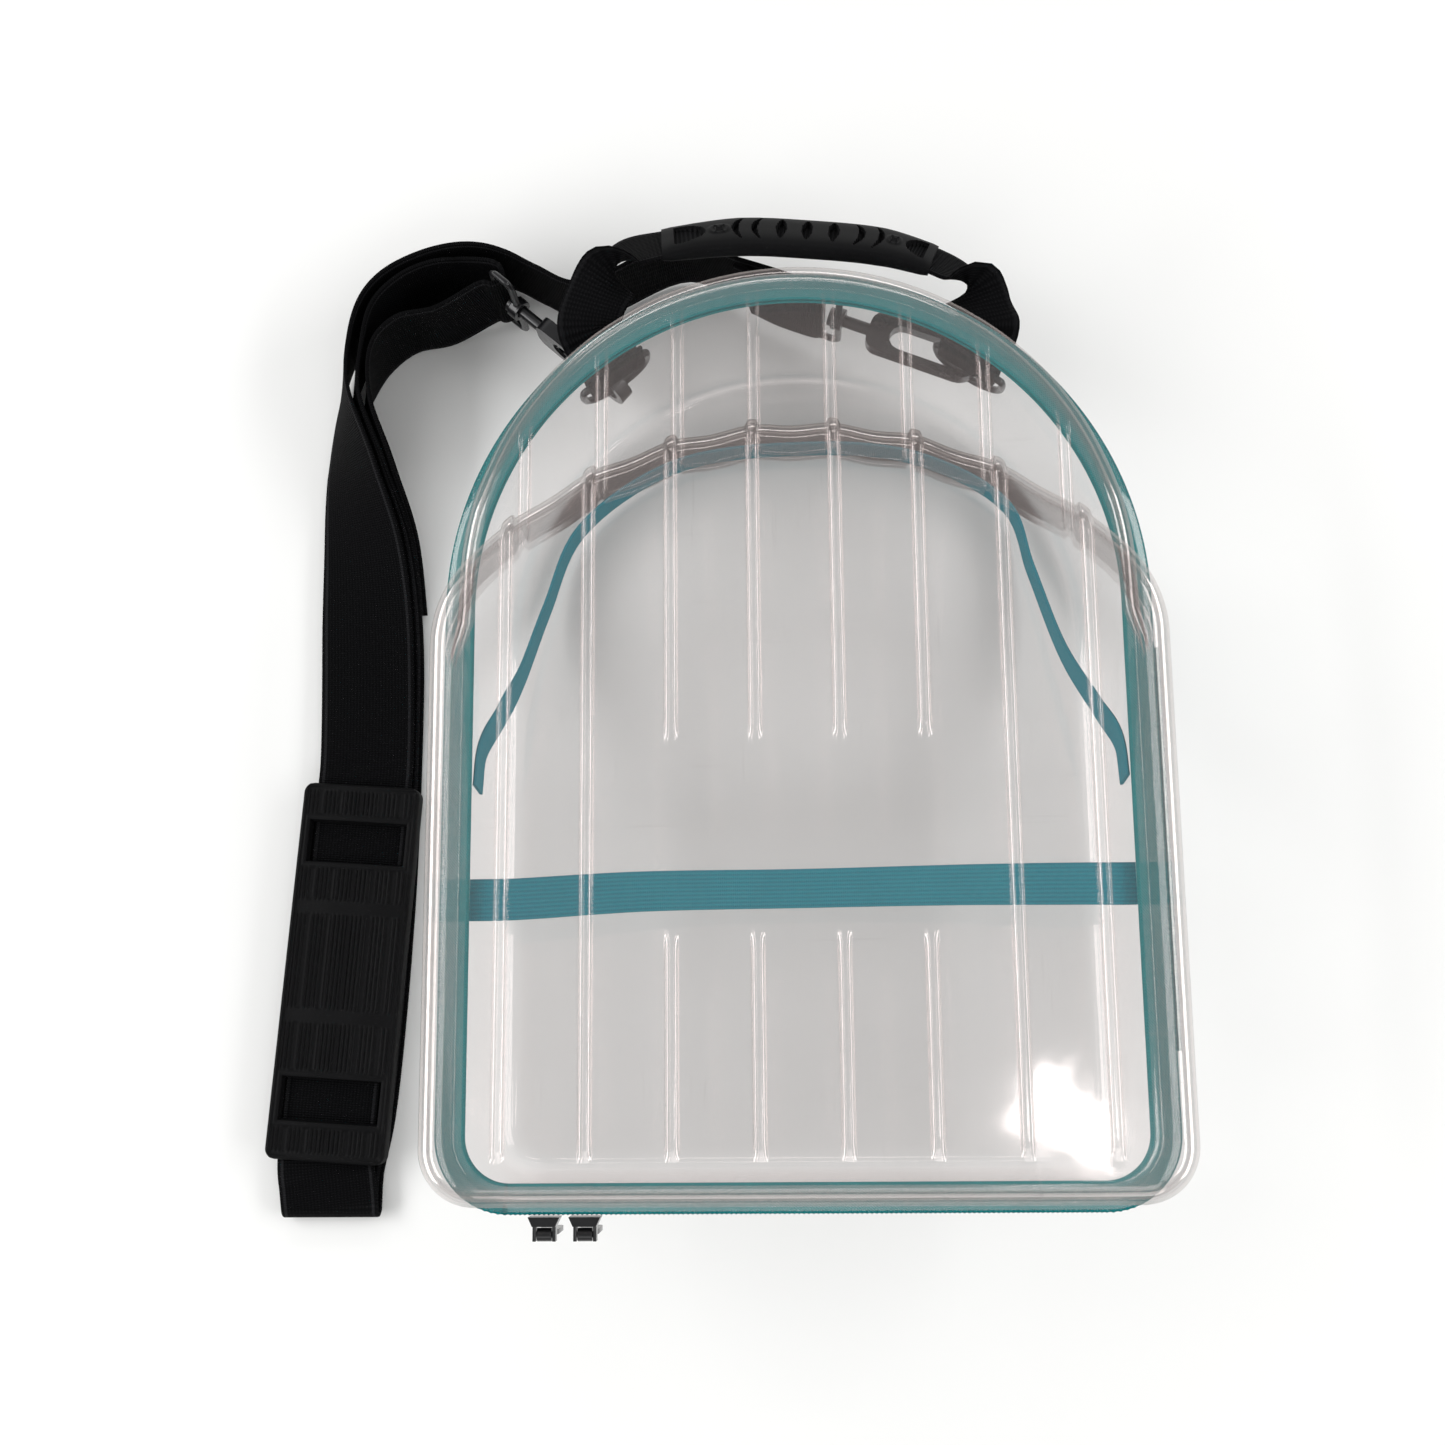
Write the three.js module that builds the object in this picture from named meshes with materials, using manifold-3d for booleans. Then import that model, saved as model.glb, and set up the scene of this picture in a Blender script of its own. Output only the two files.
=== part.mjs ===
// Carrier case for baseball caps: two clear formed shells that close along a zipper, a carry handle,
// two rings, and a shoulder strap with snap hooks and a pad. The case lies on its back.
// Millimetres, X to the right, Y towards the handle, Z up out of the front face, origin at the
// middle of the flat back face.
import * as THREE from 'three';
import { mergeVertices } from 'three/addons/utils/BufferGeometryUtils.js';
import Module from 'manifold-3d';

const wasm = await Module();
wasm.setup();

// Case body, at the outer face of its walls
const BODY_HALF_WIDTH = 120;
const BODY_BOTTOM = 163;
const ARCH_CENTRE_Y = 43;
const CORNER_RADIUS = 18;
const SHELL_WALL = 1.6;
const FLANGE_WIDTH = 7.2;
const FLANGE_THICKNESS = 1.7;
const BACK_EDGE_RADIUS = 8;

// Heights above the back face
const ZIP_HEIGHT = 75;
const CROWN_RISE = 67;
const BILL_RISE = 32;
const BILL_DRAFT = 2;
const FACE_EDGE_RADIUS = 5;

// Step between the deep crown part and the shallow bill part
const STEP_RADIUS = 153;
const STEP_CENTRE_Y = -64;
const SHOULDER_RADIUS = 42;
const SCALLOP_DEPTH = 1.3;

// Ribs of the front face
const RIB_PITCH = 27;
const RIB_COUNT = 8;
const RIB_WIDTH = 4.6;
const RIB_RAISE = 1.8;
const RIB_LOWER_END = -149;
const RIB_RAMP = 3;
const BARE_PATCH_LOW = -80;
const BARE_PATCH_HIGH = -18;
const BARE_PATCH_RIBS = 4;

// Zipper: two tapes, the coil between them, a cloth hinge, two sliders with pulls
const TAPE_WIDTH = 10;
const TAPE_PROUD = 0.8;
const TAPE_THICKNESS = 1.3;
const COIL_WIDTH = 4.4;
const COIL_THICKNESS = 1.2;
const HINGE_LOW = -118;
const HINGE_HIGH = 24;
const HINGE_THICKNESS = 1.2;
const SLIDER_INSETS = [30.5, 44.5];
const SLIDER_WIDTH = 11;
const SLIDER_DEPTH = 3.2;
const SLIDER_HEIGHT = 7;
const EAR_THICKNESS = 1.2;
const EAR_REACH = 5;
const PULL_WIDTH = 5;
const PULL_FOOT_WIDTH = 7;
const PULL_LENGTH = 22;
const PULL_THICKNESS = 1.8;
const PIN_RADIUS = 0.9;

// Rings and snap hooks
const RING_TURN = 56;
const RING_WIDTH = 30;
const RING_BAR_HEIGHT = 47;
const RING_LOW_HEIGHT = 23.5;
const RING_BAR_OFFSET = 4.1;
const RING_LOW_OFFSET = 8;
const WIRE_RADIUS = 1.5;
const HOOK_LENGTH = 64;
const HOOK_HOLE_WIDTH = 10;
const HOOK_HOLE_LENGTH = 30;
const HOOK_ARM = 3.2;
const HOOK_THICKNESS = 6;
const HOOK_BODY_END = 41;
const GATE_THICKNESS = 3;
const POST_RADIUS = 2.5;
const EYE_LENGTH = 10;
const LEFT_HOOK_HEADING = 138.7;
const RIGHT_HOOK_HEADING = 158;
const RIGHT_HOOK_HEIGHT = 28.6;
const RING_PLAY = 1.5;
const SLANT_PLAY = 7.4;

// Webbing
const STRAP_WIDTH = 38;
const STRAP_THICKNESS = 1.6;
const HANDLE_WIDTH = 25;
const HANDLE_THICKNESS = 1.6;
const BAND_WIDTH = 15;
const BAND_THICKNESS = 1.2;

// Handle grip and shoulder pad
const GRIP_WIDTH = 27;
const GRIP_THICKNESS = 8;
const GRIP_LEAN = 40;
const PAD_WIDTH = 47;
const PAD_LENGTH = 147;
const PAD_TURN = 4.2;
const PAD_TOP = 4;
const PAD_BASE = 1.5;
const PAD_WINDOW = 16.5;
const PAD_WINDOW_INSET = 15;

const GAP = 0.3;

// Values that follow from the sizes above
const TOP_Y = ARCH_CENTRE_Y + BODY_HALF_WIDTH;
const TAPE_GAP = COIL_THICKNESS / 2 + GAP;
const FLANGE_FACE = TAPE_GAP + TAPE_THICKNESS + GAP;
const TAPE_OUTER = FLANGE_WIDTH + TAPE_PROUD;
const FRONT_Z = ZIP_HEIGHT + FLANGE_FACE;
const BACK_Z = ZIP_HEIGHT - FLANGE_FACE;
const CROWN_Z = ZIP_HEIGHT + CROWN_RISE;
const BILL_Z = ZIP_HEIGHT + BILL_RISE;
const rad = THREE.MathUtils.degToRad;
const vec = (x, y, z) => new THREE.Vector3(x, y, z);

// Materials
const clear = new THREE.MeshStandardMaterial({ color: 0xd8d4d0, roughness: 0.12, metalness: 0, opacity: 0.3, transparent: true });
const teal = new THREE.MeshStandardMaterial({ color: 0x287d80, roughness: 0.85, metalness: 0 });
const bandTeal = new THREE.MeshStandardMaterial({ color: 0x1e7d8c, roughness: 0.85, metalness: 0 });
const webbing = new THREE.MeshStandardMaterial({ color: 0x141416, roughness: 0.8, metalness: 0 });
const rubber = new THREE.MeshStandardMaterial({ color: 0x1a1a1c, roughness: 0.6, metalness: 0 });
const blackMetal = new THREE.MeshStandardMaterial({ color: 0x101012, roughness: 0.3, metalness: 0.7 });

// A closed mesh turned into a solid for cutting and joining
function solidOf(geometry) {
  const bare = geometry.index ? geometry.toNonIndexed() : geometry;
  const positions = new THREE.BufferGeometry();
  positions.setAttribute('position', bare.getAttribute('position').clone());
  const merged = mergeVertices(positions, 1e-4);
  return new wasm.Manifold(new wasm.Mesh({
    numProp: 3,
    vertProperties: new Float32Array(merged.getAttribute('position').array),
    triVerts: new Uint32Array(merged.index.array),
  }));
}

function geometryOf(solid) {
  const mesh = solid.getMesh();
  const geometry = new THREE.BufferGeometry();
  geometry.setAttribute('position', new THREE.BufferAttribute(new Float32Array(mesh.vertProperties), 3));
  geometry.setIndex(new THREE.BufferAttribute(new Uint32Array(mesh.triVerts), 1));
  geometry.computeVertexNormals();
  return geometry;
}

const union = (solids) => solids.reduce((whole, piece) => whole.add(piece));

// Points of an arc, ends included, angles in degrees
function arc(cx, cy, radius, from, to, steps) {
  const points = [];
  for (let i = 0; i <= steps; i += 1) {
    const angle = rad(from + ((to - from) * i) / steps);
    points.push(new THREE.Vector2(cx + radius * Math.cos(angle), cy + radius * Math.sin(angle)));
  }
  return points;
}

// Solid through a stack of closed outlines with the same number of points. flat gives the plane
// that the two end caps are filled in.
function stackSolid(rings, flat) {
  const count = rings[0].length;
  const positions = [];
  const face = (a, b, c) => positions.push(...a.toArray(), ...b.toArray(), ...c.toArray());
  for (let i = 0; i + 1 < rings.length; i += 1) {
    for (let j = 0; j < count; j += 1) {
      const k = (j + 1) % count;
      face(rings[i][j], rings[i][k], rings[i + 1][k]);
      face(rings[i][j], rings[i + 1][k], rings[i + 1][j]);
    }
  }
  const first = rings[0];
  const last = rings[rings.length - 1];
  for (const [a, b, c] of THREE.ShapeUtils.triangulateShape(first.map(flat), [])) {
    face(first[c], first[b], first[a]);
  }
  for (const [a, b, c] of THREE.ShapeUtils.triangulateShape(last.map(flat), [])) {
    face(last[a], last[b], last[c]);
  }
  const geometry = new THREE.BufferGeometry();
  geometry.setAttribute('position', new THREE.Float32BufferAttribute(positions, 3));
  return solidOf(geometry);
}

const fromAbove = (p) => new THREE.Vector2(p.x, p.y);
const fromSide = (p) => new THREE.Vector2(p.y, p.z);
const lifted = (outline, z) => outline.map((p) => vec(p.x, p.y, z));

// Outline of the whole body, moved outwards by offset: straight sides, half-round top
function bodyOutline(offset) {
  const half = BODY_HALF_WIDTH + offset;
  const corner = CORNER_RADIUS + offset;
  const cornerX = BODY_HALF_WIDTH - CORNER_RADIUS;
  const cornerY = CORNER_RADIUS - BODY_BOTTOM;
  return [
    ...arc(cornerX, cornerY, corner, -90, 0, 5),
    ...arc(0, ARCH_CENTRE_Y, half, 0, 180, 26),
    ...arc(-cornerX, cornerY, corner, 180, 270, 5),
  ];
}

// Where the shoulder arc runs into the long arc of the step edge
const shoulderX = BODY_HALF_WIDTH - SHOULDER_RADIUS;
const shoulderY = STEP_CENTRE_Y + Math.sqrt((STEP_RADIUS - SHOULDER_RADIUS) ** 2 - shoulderX ** 2);
const shoulderTurn = THREE.MathUtils.radToDeg(Math.atan2(shoulderY - STEP_CENTRE_Y, shoulderX));
const shoulderJoin = (offset) => shoulderX + (SHOULDER_RADIUS + offset) * Math.cos(rad(shoulderTurn));

// Step edge, moved outwards by offset: the long arc, and past its ends the shoulder arcs
function stepY(x, offset) {
  const past = Math.abs(x) - shoulderX;
  if (Math.abs(x) > shoulderJoin(offset)) return shoulderY + Math.sqrt((SHOULDER_RADIUS + offset) ** 2 - past ** 2);
  return STEP_CENTRE_Y + Math.sqrt((STEP_RADIUS + offset) ** 2 - x ** 2);
}

// Outline of the deep crown part: body sides, shoulders, and a step edge scalloped between the ribs
function crownOutline(offset) {
  const corner = CORNER_RADIUS + offset;
  const cornerX = BODY_HALF_WIDTH - CORNER_RADIUS;
  const cornerY = CORNER_RADIUS - BODY_BOTTOM;
  const shoulder = SHOULDER_RADIUS + offset;
  const stepsPerBay = 4;
  const bays = RIB_COUNT - 1;
  const reach = shoulderJoin(-FACE_EDGE_RADIUS - SHELL_WALL);
  const edge = [];
  for (let i = 0; i <= bays * stepsPerBay; i += 1) {
    const x = RIB_PITCH * (bays / 2 - i / stepsPerBay);
    const scallop = SCALLOP_DEPTH * Math.sin((Math.PI * i) / stepsPerBay) ** 2;
    if (Math.abs(x) < reach) edge.push(new THREE.Vector2(x, stepY(x, offset) - scallop));
  }
  return [
    ...arc(cornerX, cornerY, corner, -90, 0, 5),
    ...arc(shoulderX, shoulderY, shoulder, 0, shoulderTurn, 6),
    ...edge,
    ...arc(-shoulderX, shoulderY, shoulder, 180 - shoulderTurn, 180, 6),
    ...arc(-cornerX, cornerY, corner, 180, 270, 5),
  ];
}

// Block with a rounded edge at its top (direction 1) or bottom (direction -1). Its walls lean in
// by draft on the way from the open side to the rounded edge.
function roundedBlock(outline, inset, openZ, faceZ, radius, draft = 0) {
  const direction = Math.sign(faceZ - openZ);
  const edgeSteps = 3;
  const rings = [lifted(outline(-inset), openZ)];
  for (let i = 0; i <= edgeSteps; i += 1) {
    const angle = ((Math.PI / 2) * i) / edgeSteps;
    const z = faceZ - direction * (inset + radius * (1 - Math.sin(angle)));
    rings.push(lifted(outline(-inset - draft - radius * (1 - Math.cos(angle))), z));
  }
  if (direction < 0) rings.reverse();
  return stackSolid(rings, fromAbove);
}

// Flat ring plate that follows the body outline between two offsets
function ringPlate(inner, outer, lowZ, highZ) {
  const plate = stackSolid([lifted(bodyOutline(outer), lowZ), lifted(bodyOutline(outer), highZ)], fromAbove);
  const hole = stackSolid([lifted(bodyOutline(inner), lowZ - 1), lifted(bodyOutline(inner), highZ + 1)], fromAbove);
  return plate.subtract(hole);
}

// Side view of a rib on the face surface, which lies inset inside the outer one
const ribsX = Array.from({ length: RIB_COUNT }, (_, i) => RIB_PITCH * (i - (RIB_COUNT - 1) / 2));
const ribRoot = FRONT_Z + 4;
const faceSink = 0.5;

function longRibSide(x, lowY, raise, inset) {
  const crown = CROWN_Z - inset;
  const bill = BILL_Z - inset;
  const step = stepY(x, -inset);
  const rim = ARCH_CENTRE_Y + Math.sqrt((BODY_HALF_WIDTH - BILL_DRAFT - inset) ** 2 - x ** 2);
  const soft = FACE_EDGE_RADIUS * 0.3;
  const slant = raise * 0.7;
  return [
    [lowY, ribRoot],
    [rim - FACE_EDGE_RADIUS, ribRoot],
    [rim - 1, bill - 2 * FACE_EDGE_RADIUS],
    [rim - soft + slant, bill - FACE_EDGE_RADIUS],
    [rim - 2 * soft + slant, bill - soft + slant * 0.5],
    [rim - FACE_EDGE_RADIUS, bill + raise],
    [step + raise + 2, bill + raise],
    [step + raise, bill + raise + 2],
    [step + raise, crown - FACE_EDGE_RADIUS],
    [step - soft + slant, crown - soft + slant],
    [step - FACE_EDGE_RADIUS, crown + raise],
    [lowY + RIB_RAMP, crown + raise],
    [lowY, crown - faceSink],
  ];
}

function shortRibSide(lowY, highY, raise, inset) {
  const crown = CROWN_Z - inset;
  return [
    [lowY, ribRoot],
    [highY, ribRoot],
    [highY, crown - faceSink],
    [highY - RIB_RAMP, crown + raise],
    [lowY + RIB_RAMP, crown + raise],
    [lowY, crown - faceSink],
  ];
}

// A rib is four side views across its width, the outer two almost flush with the face
function ribSolid(x, side, widthShare) {
  const half = (RIB_WIDTH / 2) * widthShare;
  const section = [[-1, -0.2], [-0.45, 1], [0.45, 1], [1, -0.2]];
  const rings = section.map(([across, up]) => {
    const at = x + across * half;
    return side(at, up * RIB_RAISE).map(([y, z]) => vec(at, y, z));
  });
  return stackSolid(rings, fromSide);
}

// Filled form of the front shell, inset by the wall for the hollow
function frontForm(inset, openZ) {
  const pieces = [
    roundedBlock(bodyOutline, inset, openZ, BILL_Z, FACE_EDGE_RADIUS, BILL_DRAFT),
    roundedBlock(crownOutline, inset, openZ, CROWN_Z, FACE_EDGE_RADIUS),
  ];
  const widthShare = inset > 0 ? 0.62 : 1;
  for (const x of ribsX) {
    const beside = Math.abs(x) < (RIB_PITCH * BARE_PATCH_RIBS) / 2;
    const start = beside ? BARE_PATCH_HIGH : RIB_LOWER_END;
    pieces.push(ribSolid(x, (at, raise) => longRibSide(at, start, raise, inset), widthShare));
    if (beside) {
      pieces.push(ribSolid(x, (at, raise) => shortRibSide(RIB_LOWER_END, BARE_PATCH_LOW, raise, inset), widthShare));
    }
  }
  return union(pieces);
}

function flangePlate(lowZ) {
  const ring = bodyOutline(FLANGE_WIDTH);
  return stackSolid([lifted(ring, lowZ), lifted(ring, lowZ + FLANGE_THICKNESS)], fromAbove);
}

function frontShell() {
  const outer = frontForm(0, FRONT_Z).add(flangePlate(FRONT_Z));
  return outer.subtract(frontForm(SHELL_WALL, FRONT_Z - 1));
}

function backShell() {
  const outer = roundedBlock(bodyOutline, 0, BACK_Z, 0, BACK_EDGE_RADIUS);
  const hollow = roundedBlock(bodyOutline, SHELL_WALL, BACK_Z + 1, 0, BACK_EDGE_RADIUS);
  return outer.add(flangePlate(BACK_Z - FLANGE_THICKNESS)).subtract(hollow);
}

function box(low, high) {
  const size = high.clone().sub(low);
  const middle = high.clone().add(low).multiplyScalar(0.5);
  return solidOf(new THREE.BoxGeometry(size.x, size.y, size.z).translate(...middle.toArray()));
}

// Coil of the closed zipper: a ring that stays open beside the cloth hinge
function zipCoil() {
  const outer = TAPE_OUTER + TAPE_PROUD - GAP;
  const ring = ringPlate(outer - COIL_WIDTH, outer, ZIP_HEIGHT - COIL_THICKNESS / 2, ZIP_HEIGHT + COIL_THICKNESS / 2);
  const side = BODY_HALF_WIDTH;
  return ring.subtract(box(vec(side - 5, HINGE_LOW - GAP, ZIP_HEIGHT - 5), vec(side + 20, HINGE_HIGH + GAP, ZIP_HEIGHT + 5)));
}

function hingeTape() {
  const inner = BODY_HALF_WIDTH + TAPE_OUTER + GAP;
  const half = TAPE_GAP + TAPE_THICKNESS;
  return box(vec(inner, HINGE_LOW, ZIP_HEIGHT - half), vec(inner + HINGE_THICKNESS, HINGE_HIGH, ZIP_HEIGHT + half));
}

// Zipper slider: a wedge against the tape edge, two ears and the pin between them
const sliderFace = -(BODY_BOTTOM + TAPE_OUTER + TAPE_PROUD);
const sliderFront = sliderFace - SLIDER_DEPTH;
const earHalf = PULL_WIDTH / 2 + GAP;
const pivotY = sliderFront - EAR_REACH / 2 - GAP;

function pinAlongX(halfLength, radius, sides) {
  return solidOf(new THREE.CylinderGeometry(radius, radius, 2 * halfLength, sides).rotateZ(Math.PI / 2));
}

function zipSlider(x) {
  const wide = SLIDER_WIDTH / 2;
  const narrow = earHalf + EAR_THICKNESS;
  const ringAt = (z) => [
    vec(x - narrow, sliderFront, z),
    vec(x + narrow, sliderFront, z),
    vec(x + wide, sliderFace, z),
    vec(x - wide, sliderFace, z),
  ];
  const wedge = stackSolid([ringAt(ZIP_HEIGHT - SLIDER_HEIGHT / 2), ringAt(ZIP_HEIGHT + SLIDER_HEIGHT / 2)], fromAbove);
  const earHigh = 2 * PIN_RADIUS;
  const ears = [-1, 1].map((s) => {
    const near = x + s * earHalf;
    const far = x + s * narrow;
    return box(
      vec(Math.min(near, far), sliderFront - EAR_REACH, ZIP_HEIGHT - earHigh),
      vec(Math.max(near, far), sliderFront + 0.5, ZIP_HEIGHT + earHigh),
    );
  });
  const pin = pinAlongX(earHalf + EAR_THICKNESS / 2, PIN_RADIUS, 10).translate(x, pivotY, ZIP_HEIGHT);
  return union([wedge, ...ears, pin]);
}

// Pull that hangs from the slider's pin
function zipPull(x) {
  const eye = PIN_RADIUS + GAP + 1.1;
  const half = PULL_WIDTH / 2;
  const foot = PULL_FOOT_WIDTH / 2;
  const outline = [
    new THREE.Vector2(-half, 0),
    new THREE.Vector2(-half, -6),
    new THREE.Vector2(-foot, -9),
    new THREE.Vector2(-foot, 1 - PULL_LENGTH),
    new THREE.Vector2(1 - foot, -PULL_LENGTH),
    new THREE.Vector2(foot - 1, -PULL_LENGTH),
    new THREE.Vector2(foot, 1 - PULL_LENGTH),
    new THREE.Vector2(foot, -9),
    new THREE.Vector2(half, -6),
    new THREE.Vector2(half, 0),
  ];
  const depth = (y) => outline.map((p) => vec(p.x, y, p.y));
  const plate = stackSolid([depth(PULL_THICKNESS / 2), depth(-PULL_THICKNESS / 2)], (p) => new THREE.Vector2(p.x, p.z));
  const barrel = pinAlongX(half, eye, 14);
  const bore = pinAlongX(half + 1, PIN_RADIUS + GAP, 12);
  return plate.add(barrel).subtract(bore).translate(x, pivotY, ZIP_HEIGHT);
}

// Closed round wire along a loop of points
function wireLoop(points, sides) {
  const count = points.length;
  const positions = [];
  const rings = points.map((p, i) => {
    const before = points[(i + count - 1) % count];
    const after = points[(i + 1) % count];
    const inward = p.clone().sub(before).normalize();
    const outward = after.clone().sub(p).normalize();
    const along = inward.clone().add(outward).normalize();
    const across = vec(0, 0, 1);
    const spread = across.clone().cross(along).normalize();
    const mitre = 1 / Math.max(0.5, along.dot(outward));
    return Array.from({ length: sides }, (_, k) => {
      const angle = (2 * Math.PI * (k + 0.5)) / sides;
      return p.clone()
        .addScaledVector(spread, WIRE_RADIUS * mitre * Math.cos(angle))
        .addScaledVector(across, WIRE_RADIUS * Math.sin(angle));
    });
  });
  const face = (a, b, c) => positions.push(...a.toArray(), ...b.toArray(), ...c.toArray());
  for (let i = 0; i < count; i += 1) {
    const near = rings[i];
    const far = rings[(i + 1) % count];
    for (let k = 0; k < sides; k += 1) {
      const m = (k + 1) % sides;
      face(near[k], near[m], far[m]);
      face(near[k], far[m], far[k]);
    }
  }
  const geometry = new THREE.BufferGeometry();
  geometry.setAttribute('position', new THREE.Float32BufferAttribute(positions, 3));
  return solidOf(geometry);
}

// A point outside the body wall: turn in degrees round the arch centre, offset out from the wall
function besideArch(turn, offset, z) {
  const radius = BODY_HALF_WIDTH + offset;
  return vec(radius * Math.cos(rad(turn)), ARCH_CENTRE_Y + radius * Math.sin(rad(turn)), z);
}

const ringTurns = { right: RING_TURN, left: 180 - RING_TURN };

// Frame of a ring: x along the wall, y up the ring's own leaning plane, origin at the lowest wire
function ringFrame(turn) {
  const along = vec(Math.sin(rad(turn)), -Math.cos(rad(turn)), 0);
  const low = besideArch(turn, RING_LOW_OFFSET, RING_LOW_HEIGHT);
  const up = besideArch(turn, RING_BAR_OFFSET, RING_BAR_HEIGHT).sub(low).normalize();
  const frame = new THREE.Matrix4().makeBasis(along, up, along.clone().cross(up));
  return frame.setPosition(low);
}

function placed(solid, frame) {
  return solid.transform(frame.elements);
}

function dRing(turn) {
  const half = RING_WIDTH / 2;
  const leaning = Math.hypot(RING_BAR_HEIGHT - RING_LOW_HEIGHT, RING_LOW_OFFSET - RING_BAR_OFFSET);
  const corner = 1.5;
  const points = [
    ...arc(0, half, half, -180, 0, 8),
    new THREE.Vector2(half, leaning - corner),
    new THREE.Vector2(half - corner, leaning),
    new THREE.Vector2(corner - half, leaning),
    new THREE.Vector2(-half, leaning - corner),
  ];
  return placed(wireLoop(points.map((p) => vec(p.x, p.y, 0)), 8), ringFrame(turn));
}

// Frame of a hook: origin at the ring's wire, x towards the strap, y across the arms
function hookFrame(origin, heading, upright) {
  const along = vec(Math.cos(rad(heading)), Math.sin(rad(heading)), 0);
  const across = upright ? vec(0, 0, 1) : along.clone().cross(vec(0, 0, 1)).negate();
  const frame = new THREE.Matrix4().makeBasis(along, across, along.clone().cross(across));
  return frame.setPosition(origin);
}

const holeHalf = HOOK_HOLE_WIDTH / 2;
const holeNose = WIRE_RADIUS + RING_PLAY;
const leftWire = besideArch(ringTurns.left, RING_LOW_OFFSET, RING_LOW_HEIGHT);
const leftHook = hookFrame(leftWire, LEFT_HOOK_HEADING, true);

// The right hook takes the ring lower down on its left, lying flat so that it clears the wall
const rightReach = (RING_WIDTH / 2) * Math.cos(Math.asin(1 - (RIGHT_HOOK_HEIGHT - RING_LOW_HEIGHT) / (RING_WIDTH / 2)));
const rightWire = vec(-rightReach, RIGHT_HOOK_HEIGHT - RING_LOW_HEIGHT, 0).applyMatrix4(ringFrame(ringTurns.right));
const rightOutward = vec(rightWire.x, rightWire.y - ARCH_CENTRE_Y, 0).normalize();
const rightAlong = vec(Math.cos(rad(RIGHT_HOOK_HEADING)), Math.sin(rad(RIGHT_HOOK_HEADING)), 0);
const rightCentre = rightWire.clone().addScaledVector(rightOutward, holeHalf - holeNose).addScaledVector(rightAlong, -SLANT_PLAY);
const rightHook = hookFrame(rightCentre, RIGHT_HOOK_HEADING, false);

// Extrusion of an outline in a hook's own plane, centred on that plane
function hookPlate(points, thickness) {
  const at = (z) => points.map((p) => vec(p.x, p.y, z));
  return stackSolid([at(-thickness / 2), at(thickness / 2)], fromAbove);
}

const noseCentre = holeHalf - holeNose;
const armOuter = holeHalf + HOOK_ARM;
const gatePivot = new THREE.Vector2(noseCentre + HOOK_HOLE_LENGTH - 2, -holeHalf - HOOK_ARM / 2 + 0.4);
const gateTip = noseCentre + 1;
const gatePinRadius = 1;

function hookHole() {
  const far = noseCentre + HOOK_HOLE_LENGTH - holeHalf;
  const outline = [...arc(noseCentre, 0, holeHalf, 90, 270, 8), ...arc(far, 0, holeHalf, -90, 90, 6)];
  return hookPlate(outline, HOOK_THICKNESS + 2);
}

function hookBlank() {
  const shoulder = 5;
  const outline = [
    ...arc(noseCentre, 0, armOuter, 90, 270, 10),
    ...arc(HOOK_BODY_END - shoulder, shoulder - armOuter, shoulder, -90, 0, 4),
    ...arc(HOOK_BODY_END - shoulder, armOuter - shoulder, shoulder, 0, 90, 4),
  ];
  return hookPlate(outline, HOOK_THICKNESS).subtract(hookHole());
}

function alongX(from, to, radius, sides) {
  const rod = new THREE.CylinderGeometry(radius, radius, to - from, sides).rotateZ(Math.PI / 2);
  return solidOf(rod.translate((from + to) / 2, 0, 0));
}

// Swivel post with its head, which holds the strap eye
const eyeBar = HOOK_LENGTH - EYE_LENGTH;
const headStart = eyeBar + 2.6;
const headEnd = headStart + 1.4;

function hookPost() {
  return alongX(HOOK_BODY_END - 2, headStart + 0.2, POST_RADIUS, 12).add(alongX(headStart, headEnd, POST_RADIUS + 1.3, 12));
}

function gatePin(radius, halfLength, sides) {
  const pin = new THREE.CylinderGeometry(radius, radius, 2 * halfLength, sides).rotateX(Math.PI / 2);
  return solidOf(pin.translate(gatePivot.x, gatePivot.y, 0));
}

// Body of the left hook: the gate side is cut open, with a slot and a pin for the gate
function openHook() {
  const window = box(
    vec(gateTip, -armOuter - 1, -HOOK_THICKNESS),
    vec(gatePivot.x - 3.4, 0, HOOK_THICKNESS),
  );
  const slotHalf = GATE_THICKNESS / 2 + GAP;
  const slot = box(
    vec(gateTip + 1, -armOuter - 1, -slotHalf),
    vec(gatePivot.x + 2.6, 1 - holeHalf + HOOK_ARM / 2, slotHalf),
  );
  const body = hookBlank().subtract(window).subtract(slot);
  return union([body, gatePin(gatePinRadius, HOOK_THICKNESS / 2 - 0.4, 10), hookPost()]);
}

function hookGate() {
  const low = -armOuter + 0.4;
  const high = -holeHalf + 0.2;
  const outline = [
    new THREE.Vector2(gateTip + GAP, low),
    new THREE.Vector2(gatePivot.x, low),
    ...arc(gatePivot.x, gatePivot.y, 2, -60, 60, 4),
    new THREE.Vector2(gatePivot.x, high),
    new THREE.Vector2(gateTip + GAP, high),
  ];
  return hookPlate(outline, GATE_THICKNESS).subtract(gatePin(gatePinRadius + GAP, HOOK_THICKNESS, 12));
}

// Right hook: one plain piece, its gate side closed
function closedHook() {
  return hookBlank().add(hookPost());
}

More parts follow.
